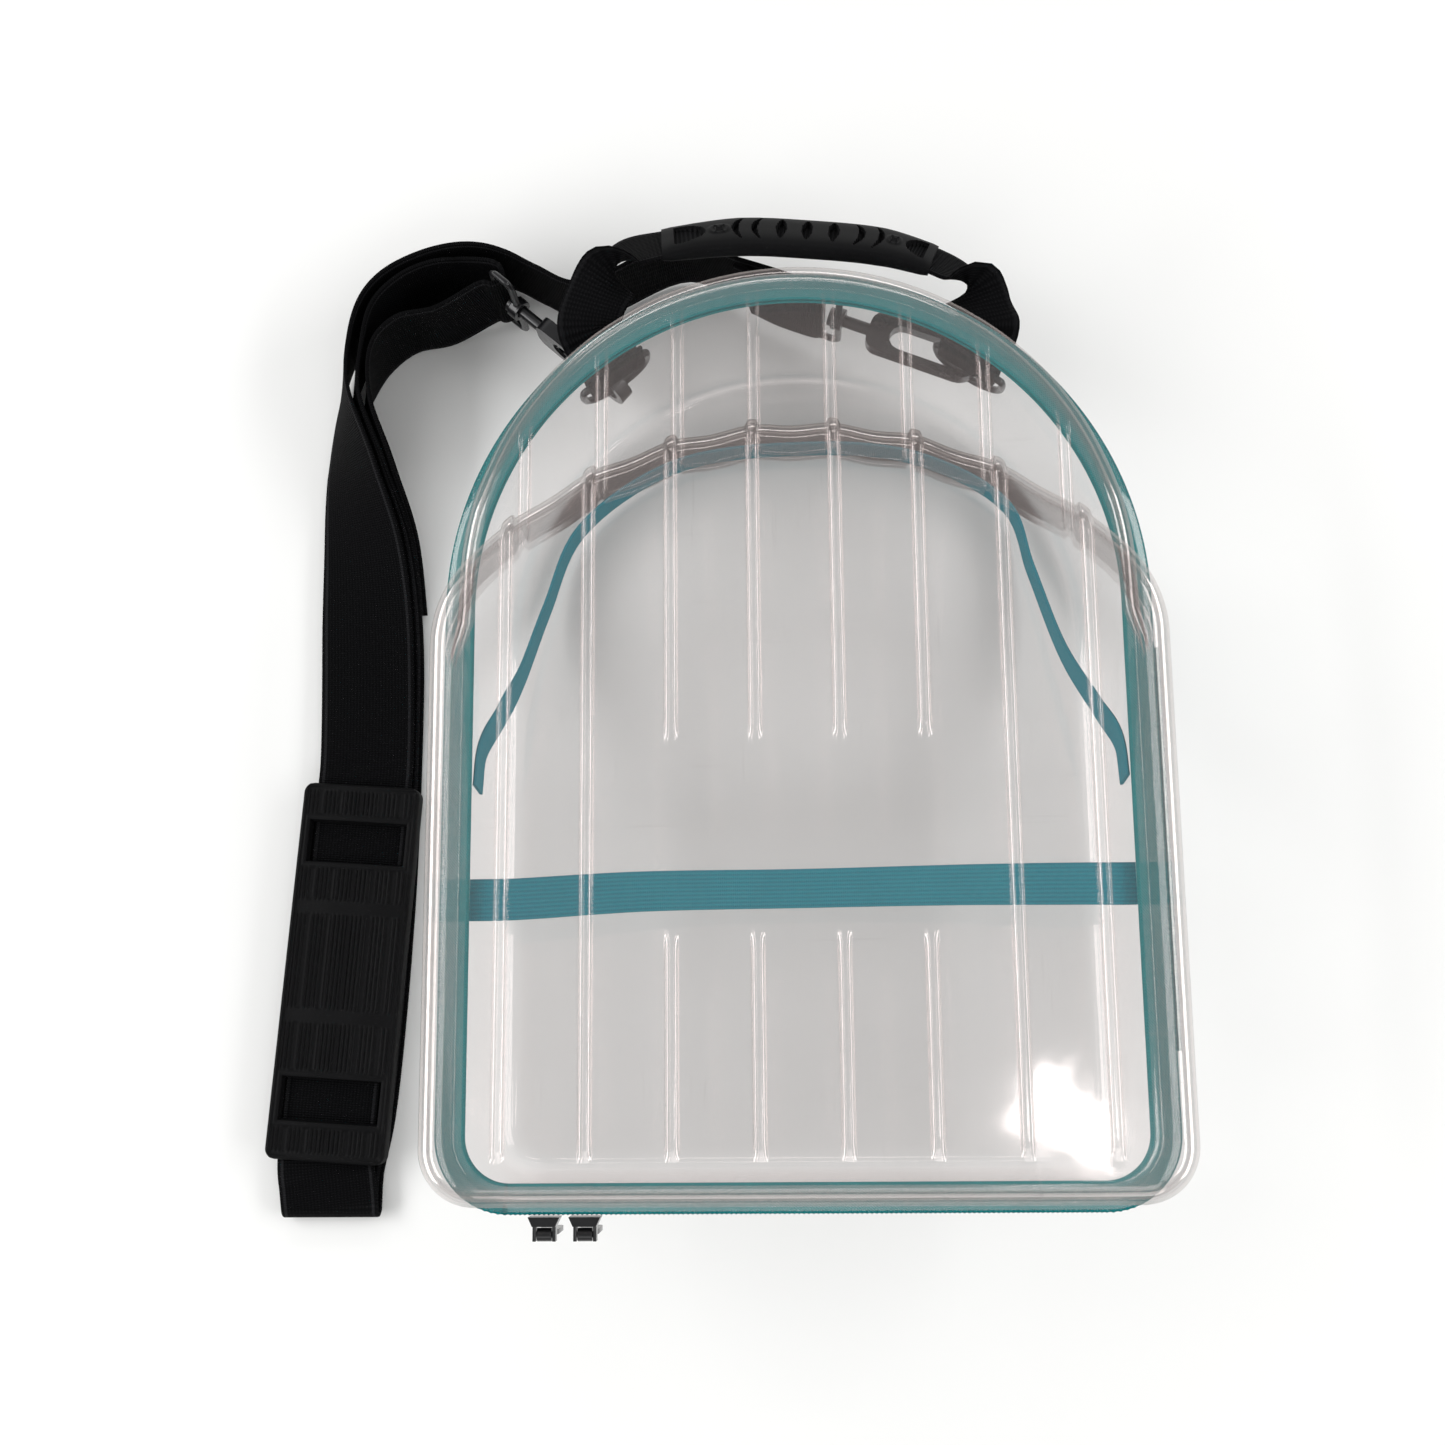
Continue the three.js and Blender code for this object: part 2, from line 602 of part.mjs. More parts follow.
// Eye for the strap: a wire loop that stands upright, with the swivel boss on its near bar
function hookEye(frame) {
  const halfHigh = STRAP_WIDTH / 2 + 0.5 + WIRE_RADIUS;
  const corner = 2;
  const low = eyeBar;
  const high = HOOK_LENGTH;
  const points = [
    [low + corner, -halfHigh], [high - corner, -halfHigh], [high, corner - halfHigh],
    [high, halfHigh - corner], [high - corner, halfHigh], [low + corner, halfHigh],
    [low, halfHigh - corner], [low, corner - halfHigh],
  ];
  const loop = wireLoop(points.map(([x, y]) => vec(x, y, 0)), 8);
  const boss = alongX(eyeBar - 2.2, eyeBar + 2.2, 4.6, 14);
  const bore = alongX(eyeBar - 5, eyeBar + 5, POST_RADIUS + GAP, 14);
  const along = vec(0, 0, 0).setFromMatrixColumn(frame, 0);
  const upright = new THREE.Matrix4().makeBasis(along, vec(0, 0, 1), along.clone().cross(vec(0, 0, 1)));
  upright.setPosition(vec(0, 0, 0).setFromMatrixPosition(frame));
  return placed(loop.add(boss).subtract(bore), upright);
}

// Webbing: a flat band along centres, its width along the given directions. Each twisted cell is
// split along its higher diagonal, so that layers one above the other twist alike.
function ribbon(rows, width, thickness, stepsPerRow) {
  const centres = new THREE.CatmullRomCurve3(rows.map((row) => row.centre), false, 'centripetal');
  const widths = new THREE.CatmullRomCurve3(rows.map((row) => row.across), false, 'catmullrom', 0.5);
  const steps = (rows.length - 1) * stepsPerRow;
  const rings = [];
  for (let i = 0; i <= steps; i += 1) {
    const t = i / steps;
    const along = centres.getTangent(t);
    const across = widths.getPoint(t);
    across.addScaledVector(along, -across.dot(along)).normalize();
    const out = along.clone().cross(across);
    const centre = centres.getPoint(t);
    rings.push([[-1, -1], [1, -1], [1, 1], [-1, 1]].map(([a, b]) => centre.clone()
      .addScaledVector(across, (a * width) / 2)
      .addScaledVector(out, (b * thickness) / 2)));
  }
  const positions = [];
  const face = (a, b, c) => positions.push(...a.toArray(), ...b.toArray(), ...c.toArray());
  for (let i = 0; i < steps; i += 1) {
    for (let j = 0; j < 4; j += 1) {
      const k = (j + 1) % 4;
      const [p, q, r, s] = [rings[i][j], rings[i][k], rings[i + 1][k], rings[i + 1][j]];
      if (p.z + r.z >= q.z + s.z) {
        face(p, q, r);
        face(p, r, s);
      } else {
        face(p, q, s);
        face(q, r, s);
      }
    }
  }
  const [a, b, c, d] = rings[0];
  face(c, b, a);
  face(d, c, a);
  const [e, f, g, h] = rings[steps];
  face(e, f, g);
  face(e, g, h);
  const geometry = new THREE.BufferGeometry();
  geometry.setAttribute('position', new THREE.Float32BufferAttribute(positions, 3));
  return solidOf(geometry);
}

// Strap rows: lean is 0 where the band lies flat and 90 where it stands on edge; rest is the
// height of its middle where it lies flat, lift raises a stretch that a hook holds up
function strapRow(x, y, lean, rest, lift = 0) {
  const tilt = rad(lean);
  const z = rest * Math.cos(tilt) + (STRAP_WIDTH / 2 + GAP) * Math.sin(tilt) + 0.5 * Math.sin(2 * tilt) + lift;
  return { centre: vec(x, y, z), across: vec(Math.cos(tilt), 0, Math.sin(tilt)) };
}

// A turn of the strap round the bar of a hook's eye, seen from above
function barTurn(frame, radius, from, to, steps) {
  const along = vec(0, 0, 0).setFromMatrixColumn(frame, 0);
  const heading = THREE.MathUtils.radToDeg(Math.atan2(along.y, along.x));
  const bar = vec(HOOK_LENGTH, 0, 0).applyMatrix4(frame);
  const shift = radius - WIRE_RADIUS - 3 * GAP - STRAP_THICKNESS / 2;
  bar.addScaledVector(along, shift);
  return arc(bar.x, bar.y, radius, heading + from, heading + to, steps)
    .map((p) => ({ centre: vec(p.x, p.y, bar.z), across: vec(0, 0, 1) }));
}

const leftEye = vec(HOOK_LENGTH, 0, 0).applyMatrix4(leftHook);
const rightEye = vec(HOOK_LENGTH, 0, 0).applyMatrix4(rightHook);
const layer = STRAP_THICKNESS + GAP + 0.1;
const restLow = STRAP_THICKNESS / 2 + GAP;

// Layers of the flat stretch: sewn tail, return run, outer run, and the outer run inside the pad
const restTail = restLow;
const restReturn = restLow + layer;
const restOuter = restLow + 2 * layer;
const padBottom = restReturn + STRAP_THICKNESS / 2 + GAP;
const restPad = padBottom + PAD_BASE + 1.5 * GAP + STRAP_THICKNESS / 2;
const padFootY = TOP_Y - 321;
const padHeadY = padFootY + PAD_LENGTH * Math.cos(rad(PAD_TURN));
const padFootX = -(BODY_HALF_WIDTH + 65.3);
const padHeadX = padFootX + PAD_LENGTH * Math.sin(rad(PAD_TURN));

// Strap route. Sideways from the left wall and down from the top of the body, both outwards
// positive; the last stretches start from the bars of the two eyes.
function strapRows() {
  const outer = -BODY_HALF_WIDTH;
  const foldOut = 63.2;
  const tail = [
    { out: 51, down: 103, lean: 0, rest: restTail },
    { out: 52, down: 74, lean: 16, rest: restTail },
    { out: 54.5, down: 44, lean: 45, rest: restTail },
    { out: 55.5, down: 17, lean: 72, rest: restTail },
    { out: 50.5, down: -3, lean: 86, rest: restTail },
    { out: 40, down: -13.5, lean: 90, rest: restTail },
    { out: 24, down: -17, lean: 90, rest: restTail },
  ];
  const back = [
    { out: 13.5, down: -37.5, lean: 90, rest: restReturn },
    { out: 26, down: -37, lean: 90, rest: restReturn },
    { out: 39, down: -31.5, lean: 90, rest: restReturn },
    { out: 50.5, down: -20, lean: 88, rest: restReturn },
    { out: 57.5, down: -2, lean: 78, rest: restReturn },
    { out: 60.5, down: 17, lean: 70, rest: restReturn },
    { out: 58, down: 44, lean: 45, rest: restReturn },
    { out: 54, down: 76, lean: 16, rest: restReturn },
    { out: 52, down: 113, lean: 0, rest: restReturn },
    { out: 51.5, down: 150, lean: 0, rest: restLow + 0.7 },
    { out: 53, down: 223, lean: 0, rest: restLow + 0.1 },
    { out: 58.6, down: 302, lean: 0, rest: restLow },
    { out: foldOut - 0.5, down: 324, lean: 0, rest: restLow },
    { out: foldOut, down: 337.4, lean: 0, rest: restLow },
  ];
  const foldRadius = 2.8;
  const fold = [-60, 0, 60, 90].map((turn) => ({
    out: foldOut,
    down: 338.4 + foldRadius * Math.cos(rad(turn)),
    lean: 0,
    rest: restLow + foldRadius + foldRadius * Math.sin(rad(turn)),
  }));
  const run = [
    { out: (foldOut - padFootX - BODY_HALF_WIDTH) / 2, down: TOP_Y - padFootY + 8.5, lean: 0, rest: restPad },
    { out: -padFootX - BODY_HALF_WIDTH, down: TOP_Y - padFootY, lean: 0, rest: restPad },
    { out: -(padFootX + padHeadX) / 2 - BODY_HALF_WIDTH, down: TOP_Y - (padFootY + padHeadY) / 2, lean: 0, rest: restPad },
    { out: -padHeadX - BODY_HALF_WIDTH, down: TOP_Y - padHeadY, lean: 0, rest: restPad },
    { out: 54, down: 164, lean: 0, rest: restPad },
    { out: 55.5, down: 113, lean: 1, rest: restOuter + 0.6 },
    { out: 57, down: 78, lean: 19, rest: restOuter },
    { out: 61.5, down: 44, lean: 46, rest: restOuter },
    { out: 65, down: 15, lean: 70, rest: restOuter },
    { out: 62.5, down: -6, lean: 78, rest: restOuter },
    { out: 55.5, down: -23, lean: 86, rest: restOuter },
    { out: 45.5, down: -33.5, lean: 90, rest: restOuter },
    { out: 31, down: -41, lean: 90, rest: restOuter },
    { out: 16.5, down: -44.3, lean: 90, rest: restOuter },
    { out: 5.5, down: -43.8, lean: 90, rest: restOuter },
    { out: -4.5, down: -40.5, lean: 90, rest: restOuter },
    { out: -17, down: -33.5, lean: 90, rest: restOuter },
    { out: -34, down: -26, lean: 90, rest: restOuter },
  ];
  const rows = (table) => table.map((row) => strapRow(outer - row.out, TOP_Y - row.down, row.lean, row.rest));
  const leftTurn = barTurn(leftHook, 4.6, 100, 265, 5);
  const rightTurn = barTurn(rightHook, 2.8, 270, 90, 5);
  const eyeLift = rightEye.z - STRAP_WIDTH / 2 - GAP;
  const rightLead = [
    { along: 60, aside: 5.5, lift: eyeLift * 0.08 },
    { along: 34, aside: 4.5, lift: eyeLift * 0.45 },
    { along: 14, aside: 3.4, lift: eyeLift * 0.9 },
  ];
  const rightTail = [
    { along: 14, aside: -2.6, lift: eyeLift * 0.9 },
    { along: 32, aside: 0.8, lift: eyeLift * 0.5 },
  ];
  const alongRight = vec(0, 0, 0).setFromMatrixColumn(rightHook, 0);
  const asideRight = vec(alongRight.y, -alongRight.x, 0);
  const nearRight = (table) => table.map((row) => {
    const point = rightEye.clone().addScaledVector(alongRight, row.along).addScaledVector(asideRight, row.aside);
    return strapRow(point.x, point.y, 90, restOuter, row.lift);
  });
  return [
    ...rows(tail),
    ...leftTurn,
    ...rows(back),
    ...rows(fold),
    ...rows(run),
    ...nearRight(rightLead),
    ...rightTurn,
    ...nearRight(rightTail),
  ];
}

// Shoulder pad: a moulded sleeve on the outer run, with two windows that show the webbing
function shoulderPad() {
  const half = PAD_WIDTH / 2;
  const corner = 4;
  const high = restPad - padBottom + STRAP_THICKNESS / 2 + GAP + PAD_TOP;
  const outline = (inset) => [
    ...arc(half - corner, corner, corner - inset, -90, 0, 3),
    ...arc(half - corner, PAD_LENGTH - corner, corner - inset, 0, 90, 3),
    ...arc(corner - half, PAD_LENGTH - corner, corner - inset, 90, 180, 3),
    ...arc(corner - half, corner, corner - inset, 180, 270, 3),
  ];
  const edge = 1.6;
  const block = stackSolid(
    [lifted(outline(edge / 2), 0), lifted(outline(0), edge / 2), lifted(outline(0), high - edge), lifted(outline(edge), high)],
    fromAbove,
  );
  const slot = STRAP_WIDTH / 2 + 3 * GAP;
  const tunnel = box(vec(-slot, -1, PAD_BASE), vec(slot, PAD_LENGTH + 1, PAD_BASE + STRAP_THICKNESS + 3 * GAP));
  const windows = [PAD_WINDOW_INSET, PAD_LENGTH - PAD_WINDOW_INSET - PAD_WINDOW].map((y) => box(
    vec(-slot, y, PAD_BASE + GAP),
    vec(slot, y + PAD_WINDOW, high + 1),
  ));
  const pad = block.subtract(union([tunnel, ...windows]));
  return pad.rotate([0, 0, -PAD_TURN]).translate(padFootX, padFootY, padBottom);
}

// Handle rows: from a loop round the left ring's bar, out and over through the grip, and back
function handleRows() {
  const lean = vec(0, Math.cos(rad(GRIP_LEAN)), -Math.sin(rad(GRIP_LEAN)));
  const end = (turn, side, bow) => {
    const across = vec(Math.sin(rad(turn)), -Math.cos(rad(turn)), 0).multiplyScalar(side);
    const loop = WIRE_RADIUS + 1.9 * GAP + HANDLE_THICKNESS / 2;
    const wall = [
      { offset: RING_BAR_OFFSET - loop, z: RING_BAR_HEIGHT + 14 },
      { offset: RING_BAR_OFFSET - loop, z: RING_BAR_HEIGHT + 1 },
      { offset: RING_BAR_OFFSET - loop * 0.7, z: RING_BAR_HEIGHT - loop * 0.7 },
      { offset: RING_BAR_OFFSET, z: RING_BAR_HEIGHT - loop },
      { offset: RING_BAR_OFFSET + loop * 0.7, z: RING_BAR_HEIGHT - loop * 0.7 },
      { offset: RING_BAR_OFFSET + loop, z: RING_BAR_HEIGHT + 1 },
      { offset: RING_BAR_OFFSET + loop + 2, z: RING_BAR_HEIGHT + 9 },
      { offset: RING_BAR_OFFSET + loop + bow, z: RING_BAR_HEIGHT + 15 },
    ];
    return wall.map((row) => ({ centre: besideArch(turn, row.offset, row.z), across }));
  };
  const middle = [
    { x: -72, above: 15, z: 60, twist: 0.35 },
    { x: -65, above: 27, z: 57, twist: 0.75 },
    { x: -50, above: 32, z: 55.5, twist: 1 },
    { x: -20, above: 34.5, z: 55.5, twist: 1 },
    { x: 8, above: 32.5, z: 55.5, twist: 1 },
    { x: 36, above: 28.5, z: 55.5, twist: 1 },
    { x: 56, above: 22, z: 55.5, twist: 1 },
    { x: 68, above: 13, z: 57, twist: 0.7 },
    { x: 72, above: 3, z: 60, twist: 0.3 },
  ];
  const left = end(ringTurns.left, 1, 12);
  const right = end(ringTurns.right, -1, 7);
  const twisted = middle.map((row) => {
    const side = row.x < 0 ? left[0].across : right[0].across;
    return { centre: vec(row.x, TOP_Y + row.above, row.z), across: side.clone().lerp(lean, row.twist).normalize() };
  });
  return [...left, ...twisted, ...right.reverse()];
}

// Grip: a moulded bar round the middle of the handle webbing, narrower towards its ends
const gripFirst = 10;
const gripLast = 14;

function handleGrip(rows) {
  const inGrip = rows.slice(gripFirst, gripLast + 1);
  const centres = new THREE.CatmullRomCurve3(inGrip.map((row) => row.centre), false, 'centripetal');
  const across = inGrip[0].across;
  const share = [[0, 0.62], [0.03, 0.8], [0.1, 0.93], [0.25, 1], [0.5, 1], [0.75, 1], [0.9, 0.93], [0.97, 0.8], [1, 0.62]];
  const rings = share.map(([t, size]) => {
    const centre = centres.getPoint(t);
    const along = centres.getTangent(t);
    const wide = across.clone().addScaledVector(along, -across.dot(along)).normalize();
    const out = along.clone().cross(wide);
    const halfWide = (GRIP_WIDTH / 2) * Math.max(size, (HANDLE_WIDTH / 2 + 1.2) / (GRIP_WIDTH / 2));
    const halfThick = (GRIP_THICKNESS / 2) * size;
    return arc(0, 0, 1, 0, 315, 7).map((p) => {
      const round = 1.12;
      const u = THREE.MathUtils.clamp(p.x * round * 1.2, -1, 1);
      const v = THREE.MathUtils.clamp(p.y * round * 1.2, -1, 1);
      return centre.clone().addScaledVector(wide, u * halfWide).addScaledVector(out, v * halfThick);
    });
  });
  const flat = (p) => new THREE.Vector2(p.clone().sub(rings[0][0]).dot(across), p.z);
  const bar = stackSolid(rings, (p) => flat(p));
  return bar;
}

// Elastic bands inside the case, hung between the two sides of the zipper tape
function bandRows(table) {
  return table.map((row) => {
    const tilt = rad(row.lean);
    const turn = rad(row.turn);
    return {
      centre: vec(row.x * (BODY_HALF_WIDTH - SHELL_WALL), row.y, row.z),
      across: vec(Math.cos(tilt) * Math.cos(turn), Math.cos(tilt) * Math.sin(turn), Math.sin(tilt)),
    };
  });
}

const bandFloor = SHELL_WALL + GAP + BAND_WIDTH / 2;
const bandUnderTape = ZIP_HEIGHT - TAPE_GAP - TAPE_THICKNESS - GAP - BAND_THICKNESS / 2;
const bandHigh = BACK_Z - BAND_WIDTH / 2 - GAP;
const atWall = 1 - (GAP + BAND_THICKNESS / 2) / (BODY_HALF_WIDTH - SHELL_WALL);
const atTape = 1 - GAP / (BODY_HALF_WIDTH - SHELL_WALL);

// The lower band lies flat where it is sewn in and sags between its ends
const lowerBand = [
  { x: -atTape, y: -63, z: bandUnderTape, lean: 0, turn: 90 },
  { x: -0.95, y: -63, z: bandUnderTape, lean: 0, turn: 90 },
  { x: -0.86, y: -62.5, z: bandUnderTape - 4, lean: 0, turn: 90 },
  { x: -0.5, y: -59, z: bandUnderTape - 20, lean: 14, turn: 90 },
  { x: 0, y: -58, z: bandUnderTape - 27, lean: 20, turn: 90 },
  { x: 0.5, y: -58, z: bandUnderTape - 20, lean: 14, turn: 90 },
  { x: 0.86, y: -59.5, z: bandUnderTape - 4, lean: 0, turn: 90 },
  { x: 0.95, y: -60, z: bandUnderTape, lean: 0, turn: 90 },
  { x: atTape, y: -60, z: bandUnderTape, lean: 0, turn: 90 },
];

// The upper band stands on edge: down from the sides and round the top of the hollow
const upperBand = [
  { x: -atWall, y: -22, z: bandHigh, lean: 90, turn: 0 },
  { x: 0.008 - atWall, y: -8, z: bandHigh - 2, lean: 90, turn: 0 },
  { x: -0.955, y: 8, z: bandHigh - 18, lean: 90, turn: 0 },
  { x: -0.92, y: 28, z: bandFloor + 15, lean: 90, turn: 0 },
  { x: -0.85, y: 59, z: bandFloor + 3.2, lean: 90, turn: 0 },
  { x: -0.74, y: 92, z: bandFloor + 0.8, lean: 90, turn: 0 },
  { x: -0.42, y: 119, z: bandFloor + 0.3, lean: 90, turn: 0 },
  { x: 0, y: 126, z: bandFloor, lean: 90, turn: 0 },
  { x: 0.42, y: 121, z: bandFloor, lean: 90, turn: 0 },
  { x: 0.73, y: 99, z: bandFloor + 0.6, lean: 90, turn: 0 },
  { x: 0.8, y: 72, z: bandFloor + 2.6, lean: 90, turn: 0 },
  { x: 0.88, y: 36, z: bandFloor + 13, lean: 90, turn: 0 },
  { x: 0.95, y: 8, z: bandHigh - 18, lean: 90, turn: 0 },
  { x: atWall - 0.008, y: -8, z: bandHigh - 2, lean: 90, turn: 0 },
  { x: atWall, y: -22, z: bandHigh, lean: 90, turn: 0 },
];

// Assembly
const group = new THREE.Group();

function addPiece(name, solid, material) {
  const mesh = new THREE.Mesh(geometryOf(solid), material);
  mesh.name = name;
  group.add(mesh);
}

addPiece('front_shell', frontShell(), clear);
addPiece('back_shell', backShell(), clear);
const tapeInner = TAPE_OUTER - TAPE_WIDTH;
addPiece('zip_tape_front', ringPlate(tapeInner, TAPE_OUTER, ZIP_HEIGHT + TAPE_GAP, ZIP_HEIGHT + TAPE_GAP + TAPE_THICKNESS), teal);
addPiece('zip_tape_back', ringPlate(tapeInner, TAPE_OUTER, ZIP_HEIGHT - TAPE_GAP - TAPE_THICKNESS, ZIP_HEIGHT - TAPE_GAP), teal);
addPiece('zip_coil', zipCoil(), teal);
addPiece('hinge_tape', hingeTape(), teal);
SLIDER_INSETS.forEach((inset, i) => {
  const x = inset - BODY_HALF_WIDTH;
  const letter = 'ab'[i];
  addPiece(`zip_slider_${letter}`, zipSlider(x), blackMetal);
  addPiece(`zip_pull_${letter}`, zipPull(x), blackMetal);
});

const handle = handleRows();
const handleWebbing = ribbon(handle, HANDLE_WIDTH, HANDLE_THICKNESS, 3);
const gripTunnel = ribbon(handle, HANDLE_WIDTH + 2 * GAP, HANDLE_THICKNESS + 2 * GAP, 3);
addPiece('handle_webbing', handleWebbing, webbing);
addPiece('handle_grip', handleGrip(handle).subtract(gripTunnel), rubber);

addPiece('d_ring_left', dRing(ringTurns.left), blackMetal);
addPiece('d_ring_right', dRing(ringTurns.right), blackMetal);
addPiece('hook_body_left', placed(openHook(), leftHook), blackMetal);
addPiece('hook_gate_left', placed(hookGate(), leftHook), blackMetal);
addPiece('hook_eye_left', hookEye(leftHook), blackMetal);
addPiece('hook_body_right', placed(closedHook(), rightHook), blackMetal);
addPiece('hook_eye_right', hookEye(rightHook), blackMetal);

addPiece('shoulder_strap', ribbon(strapRows(), STRAP_WIDTH, STRAP_THICKNESS, 3), webbing);
addPiece('shoulder_pad', shoulderPad(), rubber);
addPiece('lower_band', ribbon(bandRows(lowerBand), BAND_WIDTH, BAND_THICKNESS, 3), bandTeal);
addPiece('upper_band', ribbon(bandRows(upperBand), BAND_WIDTH, BAND_THICKNESS, 3), bandTeal);

export default group;
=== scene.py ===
# %% [markdown]
# # A clear carrier case for baseball caps
# The case lies on its back. Two formed halves of clear plastic close along a teal zipper, and a
# webbing handle, two rings and a shoulder strap with snap hooks hang on it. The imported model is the
# frame that every piece here is fitted to, so it is loaded first and its box is kept.

# %% Load the frame
import math

import bmesh
import bpy
import numpy as np
from mathutils import Matrix, Vector


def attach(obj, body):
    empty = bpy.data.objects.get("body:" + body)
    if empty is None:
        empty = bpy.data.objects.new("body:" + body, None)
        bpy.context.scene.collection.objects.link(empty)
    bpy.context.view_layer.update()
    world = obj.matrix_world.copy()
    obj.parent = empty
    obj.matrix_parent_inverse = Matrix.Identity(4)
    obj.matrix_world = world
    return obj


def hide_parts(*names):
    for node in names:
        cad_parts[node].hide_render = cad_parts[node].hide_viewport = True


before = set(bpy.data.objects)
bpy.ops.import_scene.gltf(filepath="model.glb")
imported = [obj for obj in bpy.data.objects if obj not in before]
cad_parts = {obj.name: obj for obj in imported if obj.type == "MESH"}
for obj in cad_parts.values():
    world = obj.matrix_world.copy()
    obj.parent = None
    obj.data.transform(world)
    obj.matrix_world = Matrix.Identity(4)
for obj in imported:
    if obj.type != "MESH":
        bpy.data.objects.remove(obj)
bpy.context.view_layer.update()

# %% [markdown]
# The sizes are the same named values that the solids were made from, in millimetres. Meshes are
# worked out in millimetres too and are scaled to metres when they are put into Blender.

# %% Named sizes
MM = 0.001
HALF_WIDTH = 120.0
BOTTOM = 163.0
ARCH_Y = 43.0
CORNER = 18.0
WALL = 1.6
FLANGE_WIDTH = 7.2
FLANGE_THICKNESS = 1.7
ZIP_Z = 75.0
CROWN_Z = 142.0
BILL_Z = 107.0
BILL_DRAFT = 2.0
EDGE_RADIUS = 5.0
BACK_RADIUS = 8.0
FRONT_Z = 77.5
BACK_Z = 72.5
TOP_Y = ARCH_Y + HALF_WIDTH
STEP_RADIUS = 153.0
STEP_Y = -64.0
SHOULDER_RADIUS = 42.0
SCALLOP = 1.3
RIB_PITCH = 27.0
RIB_HALF = 2.3
RIB_RAISE = 1.8
RIB_LOW = -149.0
BARE_LOW = -80.0
BARE_HIGH = -18.0
TAPE_OUTER = 8.0
TAPE_WIDTH = 10.0
TAPE_GAP = 0.9
TAPE_THICKNESS = 1.3
FLANGE_FILLET = 1.5
CHAMFER = 0.3
STRAP_WIDTH = 38.0
STRAP_THICKNESS = 1.6
HANDLE_WIDTH = 25.0
GAP = 0.3
WIRE = 1.5


# %% [markdown]
# A grid of points becomes a mesh in one step. Each quad of the grid joins four neighbours, and
# points that fall together at a pole or a seam are merged, so that the skin closes there.

# %% Meshes from grids
def quads(rows, columns, wrap_rows=False, wrap_columns=False):
    """Index of every quad between neighbouring rows and columns of a grid."""
    row = np.arange(rows if wrap_rows else rows - 1)
    column = np.arange(columns if wrap_columns else columns - 1)
    r, c = np.meshgrid(row, column, indexing="ij")
    r2 = (r + 1) % rows
    c2 = (c + 1) % columns
    cells = [r * columns + c, r * columns + c2, r2 * columns + c2, r2 * columns + c]
    return np.stack([cell.ravel() for cell in cells], axis=1)


def put_mesh(name, points, faces, material, uv=None, smooth_angle=40.0):
    """Puts points in millimetres and faces into a new object at the origin. uv holds one pair for
    each point, which the material reads as the piece's own coordinates."""
    mesh = bpy.data.meshes.new(name)
    mesh.from_pydata((np.asarray(points) * MM).tolist(), [], [list(map(int, f)) for f in faces])
    if uv is not None:
        layer = mesh.uv_layers.new(name="lay")
        corner = np.zeros(len(mesh.loops), dtype=np.int32)
        mesh.loops.foreach_get("vertex_index", corner)
        layer.data.foreach_set("uv", np.asarray(uv, dtype=np.float32)[corner].ravel())
    work = bmesh.new()
    work.from_mesh(mesh)
    bmesh.ops.remove_doubles(work, verts=work.verts, dist=1e-6)
    bmesh.ops.dissolve_degenerate(work, edges=work.edges, dist=1e-7)
    if work.calc_volume(signed=True) < 0:
        bmesh.ops.reverse_faces(work, faces=work.faces)
    open_edges = sum(1 for edge in work.edges if len(edge.link_faces) != 2)
    work.to_mesh(mesh)
    work.free()
    mesh.materials.append(material)
    mesh.shade_smooth()
    mesh.set_sharp_from_angle(angle=math.radians(smooth_angle))
    piece = bpy.data.objects.new(name, mesh)
    bpy.context.scene.collection.objects.link(piece)
    print(f"{name}: {len(mesh.polygons)} faces, {open_edges} open edges")
    return piece


# %% [markdown]
# A finish is a small tree of shader nodes. One method adds any node: it takes the node's type, its
# settings and what its sockets get. The class of values lets a tree be written as ordinary
# arithmetic: adding or multiplying two values puts a Math node into the tree.

# %% Shader values as expressions
class Nodes:
    """The shader nodes of one material."""

    def __init__(self, tree):
        self.tree = tree

    def add(self, kind, settings, sockets):
        """Adds a node. Its settings are set first, then each socket gets a number or a link."""
        node = self.tree.nodes.new(kind)
        for name, setting in settings.items():
            setattr(node, name, setting)
        for name, given in sockets.items():
            if isinstance(given, Value):
                self.tree.links.new(given.socket, node.inputs[name])
            else:
                node.inputs[name].default_value = given
        return node

    def value(self, kind, settings, sockets, output):
        """Adds a node and returns one of its outputs."""
        return Value(self, self.add(kind, settings, sockets).outputs[output])


class Value:
    """One output in a shader tree, which takes ordinary arithmetic."""

    def __init__(self, nodes, socket):
        self.nodes = nodes
        self.socket = socket

    def _math(self, operation, *others):
        operands = dict(enumerate((self, *others)))
        return self.nodes.value("ShaderNodeMath", {"operation": operation}, operands, 0)

    def __add__(self, other):
        return self._math("ADD", other)

    def __sub__(self, other):
        return self._math("SUBTRACT", other)

    def __rsub__(self, other):
        return self * -1.0 + other

    def __mul__(self, other):
        return self._math("MULTIPLY", other)

    def __pow__(self, other):
        return self._math("POWER", other)

    __radd__ = __add__
    __rmul__ = __mul__

    def wave(self, pitch):
        """Rises and falls between -1 and 1 once every pitch."""
        return (self * (2 * math.pi / pitch))._math("SINE")

    def size(self):
        """Distance from 0."""
        return self._math("ABSOLUTE")

    def most(self, other):
        """The larger of the two."""
        return self._math("MAXIMUM", other)

    def step(self, low, high):
        """0 at low, 1 at high, smooth between them. low may be the larger one."""
        sockets = {"Value": self, "From Min": min(low, high), "From Max": max(low, high),
                   "To Min": float(low > high), "To Max": float(low < high)}
        smoothed = {"interpolation_type": "SMOOTHSTEP"}
        return self.nodes.value("ShaderNodeMapRange", smoothed, sockets, "Result")


